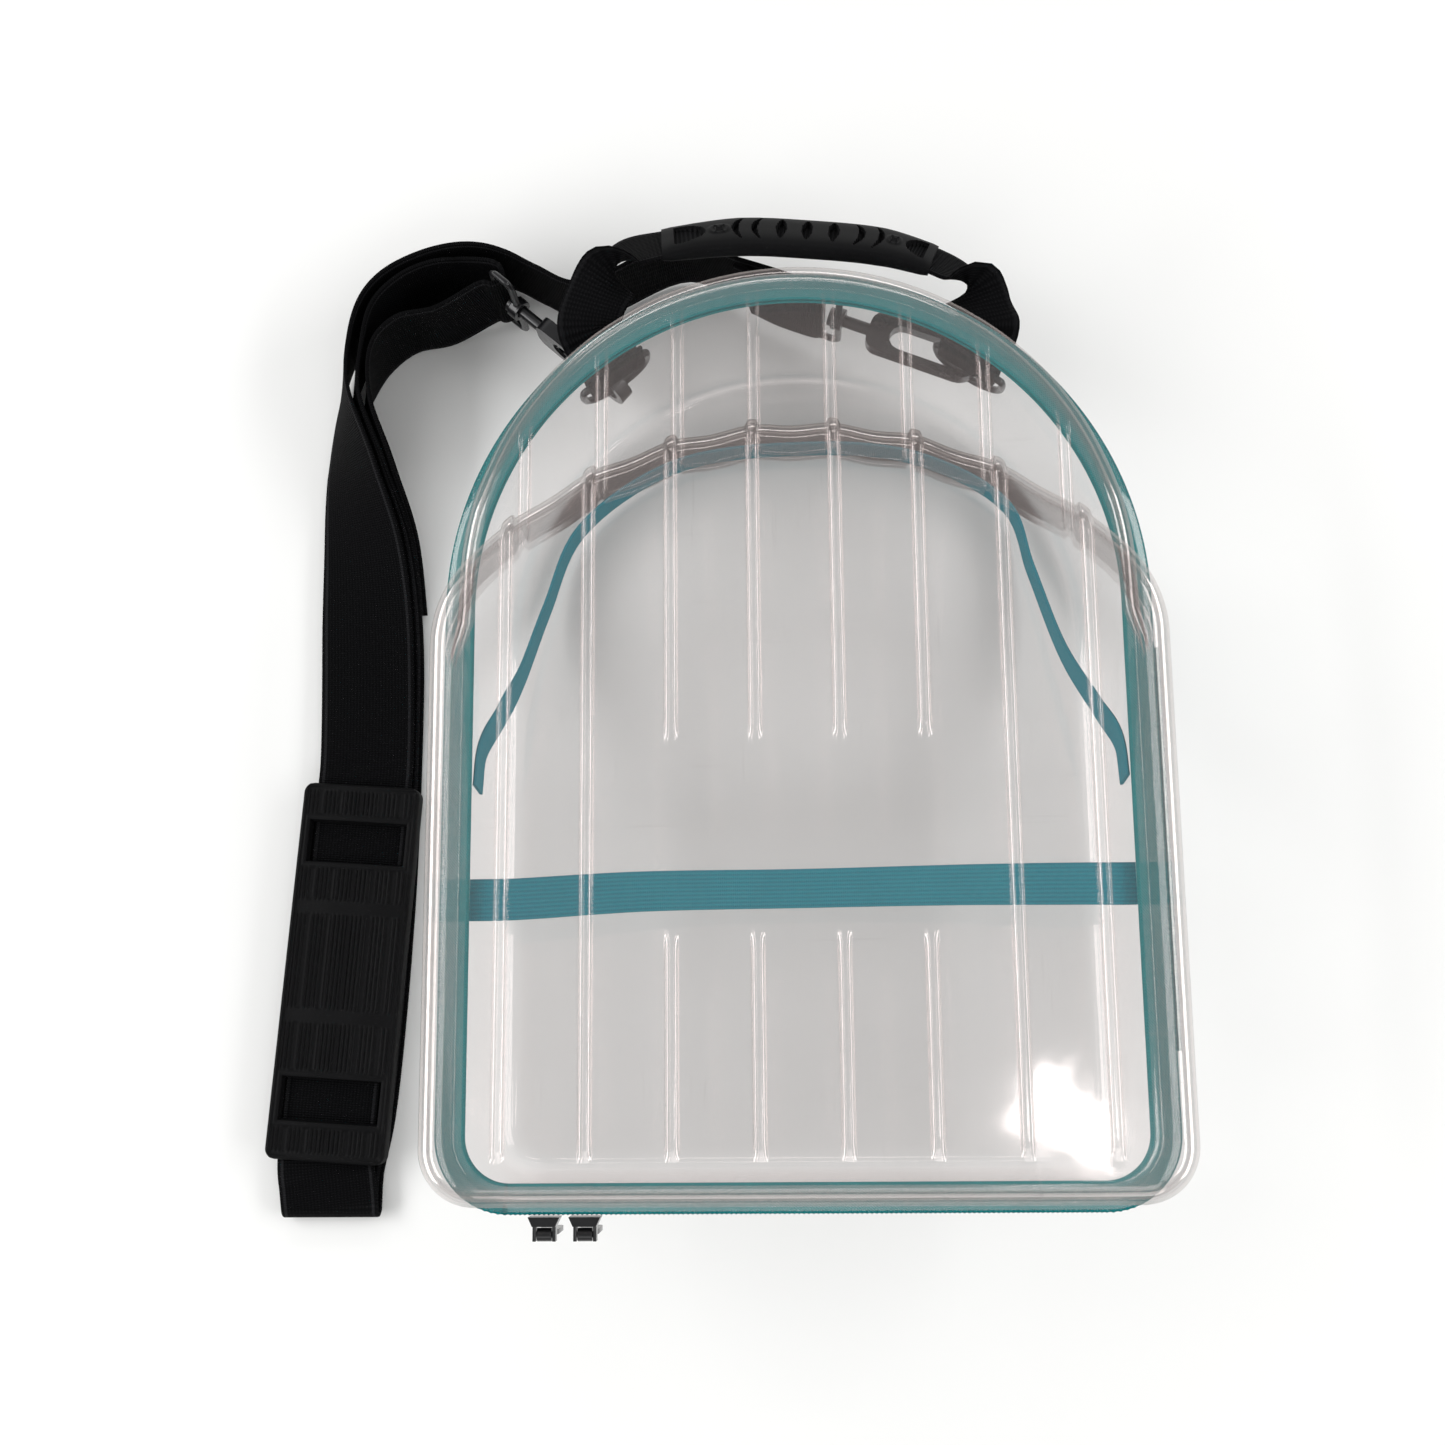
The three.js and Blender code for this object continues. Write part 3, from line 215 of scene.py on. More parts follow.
class Finish:
    """A material with one Principled shader. Plain numbers are set on its sockets."""

    def __init__(self, name, **sockets):
        self.material = bpy.data.materials.new(name)
        self.material.use_nodes = True
        self.nodes = Nodes(self.material.node_tree)
        self.shader = self.material.node_tree.nodes["Principled BSDF"]
        for socket, number in sockets.items():
            self.shader.inputs[socket.replace("_", " ")].default_value = number

    def drive(self, socket, value):
        """Links a value to a socket of the shader."""
        self.nodes.tree.links.new(value.socket, self.shader.inputs[socket])

    def axes(self, kind, settings, output):
        """The x, y and z of a node's output."""
        vector = self.nodes.value(kind, settings, {}, output)
        parts = self.nodes.add("ShaderNodeSeparateXYZ", {}, {0: vector})
        return [Value(self.nodes, part) for part in parts.outputs]

    def place(self):
        """x, y, z on the object, in millimetres."""
        return [axis * 1000.0 for axis in self.axes("ShaderNodeTexCoord", {}, "Object")]

    def lay(self):
        """The two coordinates of the piece's own UV map."""
        return self.axes("ShaderNodeUVMap", {"uv_map": "lay"}, "UV")[:2]

    def noise(self, size, detail, stretch=(1.0, 1.0, 1.0)):
        """Cloudy value about 0.5 whose patches are size millimetres across."""
        spot = self.nodes.value("ShaderNodeTexCoord", {}, {}, "Object")
        per_patch = [1000.0 / (size * along) for along in stretch]
        scaled = self.nodes.value("ShaderNodeMapping", {}, {"Vector": spot, "Scale": per_patch}, "Vector")
        sockets = {"Vector": scaled, "Scale": 1.0, "Detail": detail}
        return self.nodes.value("ShaderNodeTexNoise", {}, sockets, "Fac")

    def facing(self):
        """0 where the surface is seen square on, 1 where it is seen edge on."""
        return self.nodes.value("ShaderNodeLayerWeight", {}, {"Blend": 0.5}, "Facing")

    def paint(self, base, *layers):
        """Colour: base, then each (share, colour) laid over it."""
        last = (*base, 1.0)
        for share, colour in layers:
            last = self.nodes.value("ShaderNodeMix", {"data_type": "RGBA", "clamp_factor": True},
                                    {"Factor": share, "A": last, "B": (*colour, 1.0)}, "Result")
        if layers:
            self.drive("Base Color", last)
        else:
            self.shader.inputs["Base Color"].default_value = last

    def relief(self, height):
        """Bump from a height in millimetres."""
        sockets = {"Strength": 1.0, "Distance": MM, "Height": height}
        self.drive("Normal", self.nodes.value("ShaderNodeBump", {}, sockets, "Normal"))


# %% [markdown]
# The shells are clear vacuum-formed sheet. Seen square on they are nearly invisible and only tint
# what lies behind; seen edge on they turn a pinkish grey, because the light runs along the sheet.
# A share of cover that grows towards grazing angles does both. A bent sheet shows more than a flat
# one, so the mesh marks the steep sides of its ribs and its rounded edges in its own coordinates,
# and the cover rises there. Fine scratches break the gloss.

# %% Clear plastic
def clear_sheet(name):
    """One clear sheet. The mesh's own coordinates mark its ribs' sides and its rounded edges."""
    finish = Finish(name, Metallic=0.9, Specular_Tint=(0.80, 0.70, 0.68, 1.0))
    clouds = finish.noise(55.0, 3.0)
    scratches = finish.noise(1.4, 4.0, stretch=(1.0, 26.0, 26.0)).step(0.66, 0.74)
    other = finish.noise(1.7, 4.0, stretch=(30.0, 1.2, 30.0)).step(0.68, 0.75)
    edge = finish.facing()
    rib, bend = finish.lay()
    sheet = edge ** 16.0 * 0.8 + 0.08 + clouds * 0.02 + (scratches + other) * 0.03
    cover = sheet + rib * 0.34 + bend * 0.30
    # Painted shade: the rounded edges get a darker tint, which dims the light banks' reflection on them.
    finish.paint((0.76, 0.69, 0.675), (bend * 0.8, (0.50, 0.46, 0.44)))
    finish.drive("Alpha", cover)
    finish.drive("Roughness", clouds * 0.05 + 0.05 + (scratches + other) * 0.15)
    finish.relief(clouds * 0.35)
    return finish.material


clear_front = clear_sheet("clear_front_sheet")
clear_back = clear_sheet("clear_back_sheet")

# %% [markdown]
# The outline of the body is a straight-sided arch. Every ring of a shell, the tapes and the coil
# are that outline moved in or out, so one function gives the outline and its outward direction.


# %% Body outline
def body_outline(spacing=3.0):
    """Points of the outline and their outward directions: straight lines and arcs, each cut into
    steps of about spacing."""
    corner_x = HALF_WIDTH - CORNER
    corner_y = CORNER - BOTTOM
    points, outward = [], []

    def straight(a, b, direction):
        count = max(2, int(math.dist(a, b) / spacing))
        share = np.arange(count)[:, None] / count
        points.append(np.array(a) * (1 - share) + np.array(b) * share)
        outward.append(np.tile(direction, (count, 1)))

    def turn(centre, radius, start, end):
        count = max(4, int(math.radians(end - start) * (radius + 8) / spacing))
        angle = np.radians(start + (end - start) * np.arange(count) / count)
        direction = np.stack([np.cos(angle), np.sin(angle)], axis=1)
        points.append(np.array(centre) + radius * direction)
        outward.append(direction)

    straight((-corner_x, -BOTTOM), (corner_x, -BOTTOM), (0, -1))
    turn((corner_x, corner_y), CORNER, -90, 0)
    straight((HALF_WIDTH, corner_y), (HALF_WIDTH, ARCH_Y), (1, 0))
    turn((0, ARCH_Y), HALF_WIDTH, 0, 180)
    straight((-HALF_WIDTH, ARCH_Y), (-HALF_WIDTH, corner_y), (-1, 0))
    turn((-corner_x, corner_y), CORNER, 180, 270)
    return np.concatenate(points), np.concatenate(outward)


def swept_rings(profile, spacing=3.0):
    """Rings of the body outline, one for each (offset, z) of the profile."""
    points, outward = body_outline(spacing)
    rings = []
    for offset, z in profile:
        plan = points + outward * offset
        rings.append(np.column_stack([plan, np.full(len(plan), z)]))
    length = np.concatenate([[0.0], np.cumsum(np.linalg.norm(np.diff(points, axis=0), axis=1))])
    return np.array(rings), length


def quarter(count):
    """Angles of a quarter turn in count steps, without its start."""
    return np.linspace(0, math.pi / 2, count + 1)[1:]


# %% Back shell
def back_shell():
    """Dish: flat face, rounded edge, wall and flange, then the same again inside the wall. The two
    innermost rings of each flat face are its edge, shrunk towards the middle."""
    root = BACK_Z - FLANGE_THICKNESS
    edge = [(BACK_RADIUS * (1 - math.sin(a)), BACK_RADIUS * (1 - math.cos(a))) for a in quarter(8)]
    outer = [(-60.0, 0.0), (-30.0, 0.0), (-BACK_RADIUS, 0.0)] + [(-out, up) for out, up in edge]
    outer += [(0.0, z) for z in (25.0, 45.0, root - FLANGE_FILLET)]
    outer += [(FLANGE_FILLET * (1 - math.cos(a)), root - FLANGE_FILLET * (1 - math.sin(a)))
              for a in quarter(4)]
    outer += [(FLANGE_WIDTH - CHAMFER, root), (FLANGE_WIDTH, root + CHAMFER)]
    outer += [(FLANGE_WIDTH, BACK_Z - CHAMFER), (FLANGE_WIDTH - CHAMFER, BACK_Z)]
    inner = [(-60.0, WALL), (-30.0, WALL), (-WALL - BACK_RADIUS, WALL)]
    inner += [(-WALL - out, WALL + up) for out, up in edge]
    inner += [(-WALL, z) for z in (25.0, 45.0, BACK_Z - CHAMFER)] + [(-WALL + CHAMFER, BACK_Z)]
    rings, _ = swept_rings(outer + inner[::-1])
    for index, (offset, z) in enumerate(outer + inner[::-1]):
        if offset <= -30.0:
            near = rings[3 if z == 0.0 else -4]
            share = 0.66 if offset > -50.0 else 0.33
            rings[index] = np.column_stack([near[:, :2] * share, np.full(len(near), z)])
    count = rings.shape[1]
    points = np.concatenate([rings.reshape(-1, 3), [[0, 0, 0], [0, 0, WALL]]])
    faces = quads(len(rings), count, wrap_columns=True).tolist()
    low, high = len(points) - 2, len(points) - 1
    last = (len(rings) - 1) * count
    faces += [(low, (i + 1) % count, i) for i in range(count)]
    faces += [(high, last + i, last + (i + 1) % count) for i in range(count)]
    return put_mesh("back_dish", points, faces, clear_back, np.zeros((len(points), 2)))


back_dish = back_shell()
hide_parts("back_shell")
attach(back_dish, "case")

# %% [markdown]
# The front half is one sheet drawn over a mould: a deep part, a lower part beyond it, a scalloped
# step between the two, and eight ribs that run up the face, over the step and on across the lower
# part. The grid's columns run the same way as the ribs, so a rib stays straight and crisp. Where the
# step runs out into the side walls, the lower part narrows to nothing and the columns of that strip
# close up.

# %% Front shell columns
shoulder_x = HALF_WIDTH - SHOULDER_RADIUS
shoulder_y = STEP_Y + math.sqrt((STEP_RADIUS - SHOULDER_RADIUS) ** 2 - shoulder_x**2)
shoulder_turn = math.atan2(shoulder_y - STEP_Y, shoulder_x)
join_x = shoulder_x + SHOULDER_RADIUS * math.cos(shoulder_turn)
SHOULDER_STEPS = 16

RIB_OFFSETS = np.array([2.7, 2.35, 2.15, 1.95, 1.75, 1.55, 1.35, 1.15, 0.9, 0.6, 0.2])
BAY_OFFSETS = np.linspace(2.7, RIB_PITCH - 2.7, 10)[1:-1]
rib_x = (np.arange(-4, 4) + 0.5) * RIB_PITCH
near_rib = np.concatenate([-RIB_OFFSETS, RIB_OFFSETS[::-1]])
beyond = np.linspace(rib_x[-1] + 2.7, join_x, 6)[1:]
middle_x = np.concatenate([(rib_x[:, None] + near_rib).ravel(), (rib_x[:-1, None] + BAY_OFFSETS).ravel(),
                           beyond, -beyond])
middle_x.sort()
turns = shoulder_turn * (1 - np.arange(1, SHOULDER_STEPS + 1) / SHOULDER_STEPS)
side_x = shoulder_x + SHOULDER_RADIUS * np.cos(turns)
column_x = np.concatenate([-side_x[::-1], middle_x, side_x])
column_side = np.sign(column_x)
on_shoulder = np.arange(1, SHOULDER_STEPS + 1) / SHOULDER_STEPS
past_join = np.concatenate([on_shoulder[::-1], np.zeros(len(middle_x)), on_shoulder])


def smooth(value, low, high):
    """0 up to low, 1 from high on, smooth between them."""
    share = np.clip((value - low) / (high - low), 0, 1)
    return share * share * (3 - 2 * share)


by_turn = smooth(past_join, 0.0, 0.35)
print("columns", len(column_x), "join at", round(join_x, 1))


def safe_acos(value):
    """Angle of a cosine that may lie past 1 or -1 by a rounding error or beyond the arc's end."""
    return np.arccos(np.clip(value, -1.0, 1.0))


def step_line(inset):
    """Step edge moved in by inset: a long arc, scalloped between the ribs, and a shoulder arc at
    each end. Columns keep their x on the long arc and their turn on the shoulders."""
    x = np.abs(column_x)
    long_y = STEP_Y + np.sqrt((STEP_RADIUS - inset) ** 2 - np.minimum(x, join_x) ** 2)
    bay = np.cos(np.pi * (x / RIB_PITCH)) ** 2
    long_y = long_y - SCALLOP * bay * (x < 3.5 * RIB_PITCH)
    radius = SHOULDER_RADIUS - inset
    own_turn = shoulder_turn * (1 - past_join)
    held_turn = safe_acos((x - shoulder_x) / radius)
    angle = own_turn * by_turn + held_turn * (1 - by_turn)
    turned = np.stack([shoulder_x + radius * np.cos(angle), shoulder_y + radius * np.sin(angle)], axis=1)
    plan = np.where(past_join[:, None] > 0, turned, np.stack([x, long_y], axis=1))
    plan[:, 0] *= column_side
    return plan


def arch_line(inset):
    """Top of the body outline moved in by inset, met by the same columns."""
    x = np.abs(column_x)
    radius = HALF_WIDTH - inset
    held = safe_acos(x / radius)
    first = math.acos(join_x / HALF_WIDTH) * HALF_WIDTH
    along = first * (1 - past_join) + (shoulder_y - ARCH_Y) * past_join
    angle = np.maximum(along, 0) / HALF_WIDTH * by_turn + held * (1 - by_turn)
    on_arch = np.stack([radius * np.cos(angle), ARCH_Y + radius * np.sin(angle)], axis=1)
    on_side = np.stack([np.full(len(x), radius), ARCH_Y + along], axis=1)
    plan = np.where((along < 0)[:, None], on_side, on_arch)
    plan[:, 0] *= column_side
    return plan


def bottom_line(inset):
    """Bottom of the body outline moved in by inset, met by the same columns."""
    x = np.abs(column_x)
    corner_x = HALF_WIDTH - CORNER
    angle = np.arcsin(np.clip((x - corner_x) / CORNER, 0, 1))
    radius = CORNER - inset
    corner_y = CORNER - BOTTOM
    at_corner = np.stack([corner_x + radius * np.sin(angle), corner_y - radius * np.cos(angle)], axis=1)
    straight = np.stack([x, np.full(len(x), inset - BOTTOM)], axis=1)
    plan = np.where((x > corner_x)[:, None], at_corner, straight)
    plan[:, 0] *= column_side
    return plan


# %% [markdown]
# The ribs are low bars with a flat back and steep sides, pressed up from inside. Written as a height
# across the face, one formula makes all eight, and the inner skin takes the same one, narrowed.

# %% Ribs of the front shell
RIB_RAMP = 3.0


def beside_rib(x, width_share):
    """Distance from the nearest rib's middle as a share of its half width, and 1 where a rib is."""
    nearest = (np.floor(x / RIB_PITCH) + 0.5) * RIB_PITCH
    return np.abs(x - nearest) / width_share / RIB_HALF, np.abs(nearest) < 4 * RIB_PITCH


def rib_height(x, width_share):
    """Height of the ribs: 1 minus the fourth power of the distance, times their raise."""
    distance, inside = beside_rib(x, width_share)
    return RIB_RAISE * np.maximum(1 - distance**4, 0) * inside


def rib_bend(x, width_share):
    """1 on the two steep sides of every rib, falling to 0 on its back and beside it."""
    distance, inside = beside_rib(x, width_share)
    return np.exp(-((distance - 0.8) / 0.2) ** 2) * inside


def rib_stretch(x, y):
    """1 along a rib, 0 below its lower end and in the bare patch in the middle of the face."""
    low_end = smooth(y, RIB_LOW - 0.5, RIB_LOW + RIB_RAMP)
    below = 1 - smooth(y, BARE_LOW - RIB_RAMP, BARE_LOW)
    again = smooth(y, BARE_HIGH, BARE_HIGH + RIB_RAMP)
    short = np.maximum(below, again)
    return low_end * np.where(np.abs(x) < 2 * RIB_PITCH, short, 1.0)


# %% [markdown]
# Each skin of the front half is two grids. The face is the flat top, from its lower edge to the
# step. The rim is a stack of closed rings that run from the face's edge over the rounding, down the
# wall, out over the bill part and down to the flange. Outer and inner skin come from one function.

# %% Front shell skins
FACE_ROWS = 96
FOOT_FILLET = 2.5


def front_skin(inset, width_share):
    """Outer skin for inset 0, inner skin for the wall's thickness: rows of the face, then rings of
    the rim from the face's edge down to the flange. Returns both grids, and for each of their
    points how steep its rib is and how strongly its edge is rounded."""
    edge = inset + EDGE_RADIUS
    low = bottom_line(edge)
    high = step_line(edge)
    share = np.linspace(0, 1, FACE_ROWS)[:, None]
    x = low[:, 0] + (high[:, 0] - low[:, 0]) * share**8
    y = low[:, 1] + (high[:, 1] - low[:, 1]) * share
    ribs = rib_height(column_x, width_share)
    z = CROWN_Z - inset + ribs[None, :] * rib_stretch(column_x[None, :], y)
    face = np.stack([x, y, z], axis=2)
    sides_bend = rib_bend(column_x, width_share)
    face_bend = sides_bend[None, :] * rib_stretch(column_x[None, :], y)

    side_y = y[1:-1, -1]
    sides = len(side_y)

    def round_trip(bottom, top, side_offset):
        right = np.stack([np.full(sides, HALF_WIDTH - side_offset), side_y], axis=1)
        left = right[::-1] * [-1, 1]
        return np.concatenate([bottom, right, top[::-1], left])

    def crown_ring(offset):
        return round_trip(bottom_line(offset), step_line(offset), offset)

    def body_ring(offset):
        return round_trip(bottom_line(offset), arch_line(offset), offset)

    strip = np.linalg.norm(body_ring(0.0) - crown_ring(0.0), axis=1)
    lean = BILL_DRAFT * smooth(strip, 0.0, 14.0)
    raised = np.concatenate([np.zeros(len(column_x) + sides), ribs[::-1], np.zeros(sides)])
    lined = np.concatenate([np.zeros(len(column_x) + sides), sides_bend[::-1], np.zeros(sides)])
    fillet = np.minimum(FOOT_FILLET, 0.3 * strip)
    turn = np.minimum(EDGE_RADIUS, 0.6 * strip)
    crown = CROWN_Z - inset
    bill = BILL_Z - inset
    rows, marks = [], []

    def add(plan, height, lift_out, lift_up, bend=0.0, rib=0.0):
        marks.append(np.column_stack([np.full(len(plan), rib), np.full(len(plan), bend)]))
        point = np.column_stack([plan, np.broadcast_to(height, len(plan))])
        point[:, 1] += raised * lift_out
        point[:, 2] += raised * lift_up
        rows.append(point)

    def shifted(ring, offsets):
        """Ring moved in by an offset of its own at every point."""
        near, far = ring(0.0), ring(EDGE_RADIUS + WALL)
        exact = (offsets / (EDGE_RADIUS + WALL))[:, None]
        return near * (1 - exact) + far * exact

    for angle in np.concatenate([[0.0], quarter(6)]):
        plan = crown_ring(inset + EDGE_RADIUS * (1 - math.sin(angle)))
        height = crown - EDGE_RADIUS * (1 - math.cos(angle))
        add(plan, height, math.sin(angle), math.cos(angle), math.sin(2 * angle))
    foot = crown_ring(inset)
    for share in (0.5, 1.0):
        add(foot, (crown - EDGE_RADIUS) * (1 - share) + (bill + fillet) * share, 1.0, 0.0)
    for angle in quarter(4):
        out = shifted(crown_ring, inset - fillet * (1 - math.cos(angle)))
        add(out, bill + fillet * (1 - math.sin(angle)), math.cos(angle), math.sin(angle))
    start = shifted(crown_ring, inset - fillet)
    end = shifted(body_ring, inset + lean + turn)
    for share in np.linspace(0, 1, 34)[1:]:
        fade = 1 - smooth(share, 0.76, 0.97)
        add(start * (1 - share) + end * share, bill, 0.0, fade, rib=lined * fade)
    for angle in quarter(6):
        out = shifted(body_ring, inset + lean + turn * (1 - math.sin(angle)))
        add(out, bill - turn * (1 - math.cos(angle)), 0.0, 0.0, math.sin(2 * angle))
    wall = body_ring(inset)
    root = FRONT_Z + FLANGE_THICKNESS
    fillet_top = root + FLANGE_FILLET
    for drop in (7.0, 11.0):
        share = (bill - drop - FRONT_Z) / (bill - EDGE_RADIUS - FRONT_Z)
        add(shifted(body_ring, inset + lean * share), bill - drop, 0.0, 0.0)
    if inset == 0.0:
        for height in (root + 9.0, fillet_top):
            share = (height - fillet_top) / (bill - EDGE_RADIUS - fillet_top)
            add(shifted(body_ring, inset + lean * share), height, 0.0, 0.0)
        for angle in quarter(4):
            plan = body_ring(-FLANGE_FILLET * (1 - math.cos(angle)))
            add(plan, root + FLANGE_FILLET * (1 - math.sin(angle)), 0.0, 0.0)
        for offset, height in ((FLANGE_WIDTH - CHAMFER, root), (FLANGE_WIDTH, root - CHAMFER),
                               (FLANGE_WIDTH, FRONT_Z + CHAMFER), (FLANGE_WIDTH - CHAMFER, FRONT_Z)):
            add(body_ring(-offset), height, 0.0, 0.0)
    else:
        add(wall, fillet_top, 0.0, 0.0)
        add(wall, FRONT_Z, 0.0, 0.0)
    face_marks = np.stack([face_bend, face_bend * 0], axis=2)
    return face, np.array(rows), face_marks, np.array(marks)


def front_shell():
    """The outer and inner skins with a closing strip under the flange."""
    points, marks, faces, start = [], [], [], 0
    closing = []
    for inset, width_share, turn_over in ((0.0, 1.0, False), (WALL, 0.62, True)):
        face, rim, face_marks, rim_marks = front_skin(inset, width_share)
        marks += [face_marks.reshape(-1, 2), rim_marks.reshape(-1, 2)]
        face_cells = quads(face.shape[0], face.shape[1]) + start
        points.append(face.reshape(-1, 3))
        start += face.shape[0] * face.shape[1]
        rim_cells = quads(rim.shape[0], rim.shape[1], wrap_columns=True)[:, ::-1] + start
        points.append(rim.reshape(-1, 3))
        closing.append(start + (rim.shape[0] - 1) * rim.shape[1] + np.arange(rim.shape[1]))
        start += rim.shape[0] * rim.shape[1]
        for cells in (face_cells, rim_cells):
            faces.append(cells[:, ::-1] if turn_over else cells)
    outer, inner = closing
    faces.append(np.stack([outer, inner, np.roll(inner, -1), np.roll(outer, -1)], axis=1))
    return put_mesh("front_dome", np.concatenate(points), np.concatenate(faces), clear_front,
                    np.concatenate(marks), smooth_angle=55.0)


front_dome = front_shell()
front_dome.visible_shadow = False  # a sheet drawn by its cover would throw too dark a shadow
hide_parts("front_shell")
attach(front_dome, "case")

# %% [markdown]
# Two woven tapes carry the zipper round the outline, and the closed coil runs between their outer
# edges. Teal cloth has no gloss: it is a fine weave, with painted shade darkening its furrows. Near
# the outer edge the coil shows as small close ribs across the tape.

# %% Teal zipper cloth
def tape_cloth():
    """Teal weave, paler where it is worn, with painted shade in its furrows and the coil's ribs near the
    outer edge.
    """
    finish = Finish("teal_tape_cloth", Roughness=0.9, Specular_IOR_Level=0.15)
    along, across = finish.lay()
    weave = along.wave(1.1) * across.wave(0.9)
    ribs = (along.wave(1.7) * 0.5 + 0.5) * across.step(3.6, 4.4)
    clouds = finish.noise(24.0, 3.0)
    worn = finish.noise(3.0, 4.0).step(0.55, 0.8)
    # Painted shade: the weave's colour turns darker where its bump is low, in the furrows.
    furrow_shade = (0.3 - weave * 0.5).most(0.0)
    finish.paint((0.003, 0.185, 0.20), (clouds, (0.006, 0.29, 0.29)), (worn * 0.3, (0.02, 0.38, 0.37)),
                 (furrow_shade, (0.006, 0.08, 0.09)), (ribs * 0.45, (0.005, 0.10, 0.115)))
    finish.relief(weave * 0.12 + ribs * 0.5 + clouds * 0.1)
    return finish.material


teal_cloth = tape_cloth()


def outline_band(name, node, low_offset, high_offset, low_z, high_z):
    """Closed band of rectangular section with softened edges, carried round the outline."""
    soft = 0.35
    section = [(low_offset, low_z + soft), (low_offset + soft, low_z), (high_offset - soft, low_z),
               (high_offset, low_z + soft), (high_offset, high_z - soft), (high_offset - soft, high_z),
               (low_offset + soft, high_z), (low_offset, high_z - soft)]
    rings, length = swept_rings(section, spacing=2.0)
    count = rings.shape[1]
    faces = quads(len(section), count, wrap_rows=True, wrap_columns=True)
    across = np.array([offset - low_offset for offset, _ in section]) - TAPE_WIDTH / 2
    uv = np.stack([np.tile(length, len(section)), np.repeat(across, count)], axis=1)
    piece = put_mesh(name, rings.reshape(-1, 3), faces, teal_cloth, uv)
    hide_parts(node)
    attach(piece, "case")


tape_low = TAPE_OUTER - TAPE_WIDTH
tape_face = TAPE_GAP + TAPE_THICKNESS
outline_band("tape_front", "zip_tape_front", tape_low, TAPE_OUTER, ZIP_Z + TAPE_GAP, ZIP_Z + tape_face)
outline_band("tape_back", "zip_tape_back", tape_low, TAPE_OUTER, ZIP_Z - tape_face, ZIP_Z - TAPE_GAP)

# %% [markdown]
# The closed coil is a thin band whose outer edge swells at every tooth. Teeth this small are worked
# into the edge of one mesh, because a thousand loops of wire wouldn't show as more than that.

# %% Closed coil
HINGE_LOW = -118.0
HINGE_HIGH = 24.0
TOOTH_PITCH = 1.65
TOOTH_SWELL = 0.405


def zipper_coil():
    """Band between the tapes whose outer edge swells at every tooth, open beside the hinge."""
    points, outward = body_outline(0.55)
    x, y = points.T
    open_part = (x > HALF_WIDTH - 0.01) & (y > HINGE_LOW - GAP) & (y < HINGE_HIGH + GAP)
    first = int(np.argmax(open_part)) + int(open_part.sum())
    order = (np.arange(len(points) - int(open_part.sum())) + first) % len(points)
    points, outward = points[order], outward[order]
    length = np.concatenate([[0.0], np.cumsum(np.linalg.norm(np.diff(points, axis=0), axis=1))])
    tooth = 0.5 + 0.5 * np.cos(2 * math.pi * length / TOOTH_PITCH)
    section = [(4.1, -0.5), (7.9, -0.6), (8.45, -0.25), (8.45, 0.25), (7.9, 0.6), (4.1, 0.5)]
    rings = []
    for offset, height in section:
        out = offset - 0.4 + TOOTH_SWELL * tooth if offset > 7.0 else np.full(len(points), offset)
        plan = points + outward * out[:, None]
        rings.append(np.column_stack([plan, np.full(len(points), ZIP_Z + height)]))
    rings = np.array(rings)
    count = len(points)
    faces = quads(len(section), count, wrap_rows=True).tolist()
    faces.append([i * count for i in range(len(section))])
    faces.append([i * count + count - 1 for i in range(len(section))][::-1])
    uv = np.stack([np.tile(length, len(section)), np.zeros(len(section) * count)], axis=1)
    return put_mesh("closed_coil", rings.reshape(-1, 3), faces, teal_cloth, uv, smooth_angle=60.0)


coil = zipper_coil()
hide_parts("zip_coil")
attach(coil, "case")

# %% [markdown]
# Webbing is a strip that is carried along a smooth route with its width held in given directions.
# The route passes through a few chosen stations with a curve that slows down where stations lie
# close together, so that a tight fold beside a long run stays round.


# %% Strips along a route
def through(points, per_span, centripetal=True):
    """Smooth curve through points. Each span is a cubic whose end slopes come from the points
    before and after it, weighted by the square root of their distances."""
    p = np.asarray(points, dtype=float)
    p = np.concatenate([[2 * p[0] - p[1]], p, [2 * p[-1] - p[-2]]])
    p0, p1, p2, p3 = (p[i:len(p) - 3 + i, None, :] for i in range(4))
    if centripetal:
        spans = [np.linalg.norm(b - a, axis=2, keepdims=True) for a, b in ((p0, p1), (p1, p2), (p2, p3))]
        d0, d1, d2 = (np.sqrt(np.maximum(span, 1e-8)) for span in spans)
        slope1 = ((p1 - p0) / d0 - (p2 - p0) / (d0 + d1) + (p2 - p1) / d1) * d1
        slope2 = ((p2 - p1) / d1 - (p3 - p1) / (d1 + d2) + (p3 - p2) / d2) * d1
    else:
        slope1 = (p2 - p0) / 2
        slope2 = (p3 - p1) / 2
    t = (np.arange(per_span) / per_span)[None, :, None]
    bent = p1 + slope1 * t + (-3 * p1 + 3 * p2 - 2 * slope1 - slope2) * t**2
    bent = bent + (2 * p1 - 2 * p2 + slope1 + slope2) * t**3
    return np.concatenate([bent.reshape(-1, p.shape[1]), p[-2:-1]])


def unit(vectors):
    """The same directions with length 1."""
    return vectors / np.linalg.norm(vectors, axis=-1, keepdims=True)


def strip_frame(rows, per_span):
    """Centres, directions along, across and out of a strip at every step of its route."""
    centre = through([row[0] for row in rows], per_span)
    across = through([row[1] for row in rows], per_span, centripetal=False)
    along = unit(np.gradient(centre, axis=0))
    across = unit(across - along * np.sum(across * along, axis=1, keepdims=True))
    return centre, along, across, np.cross(along, across)


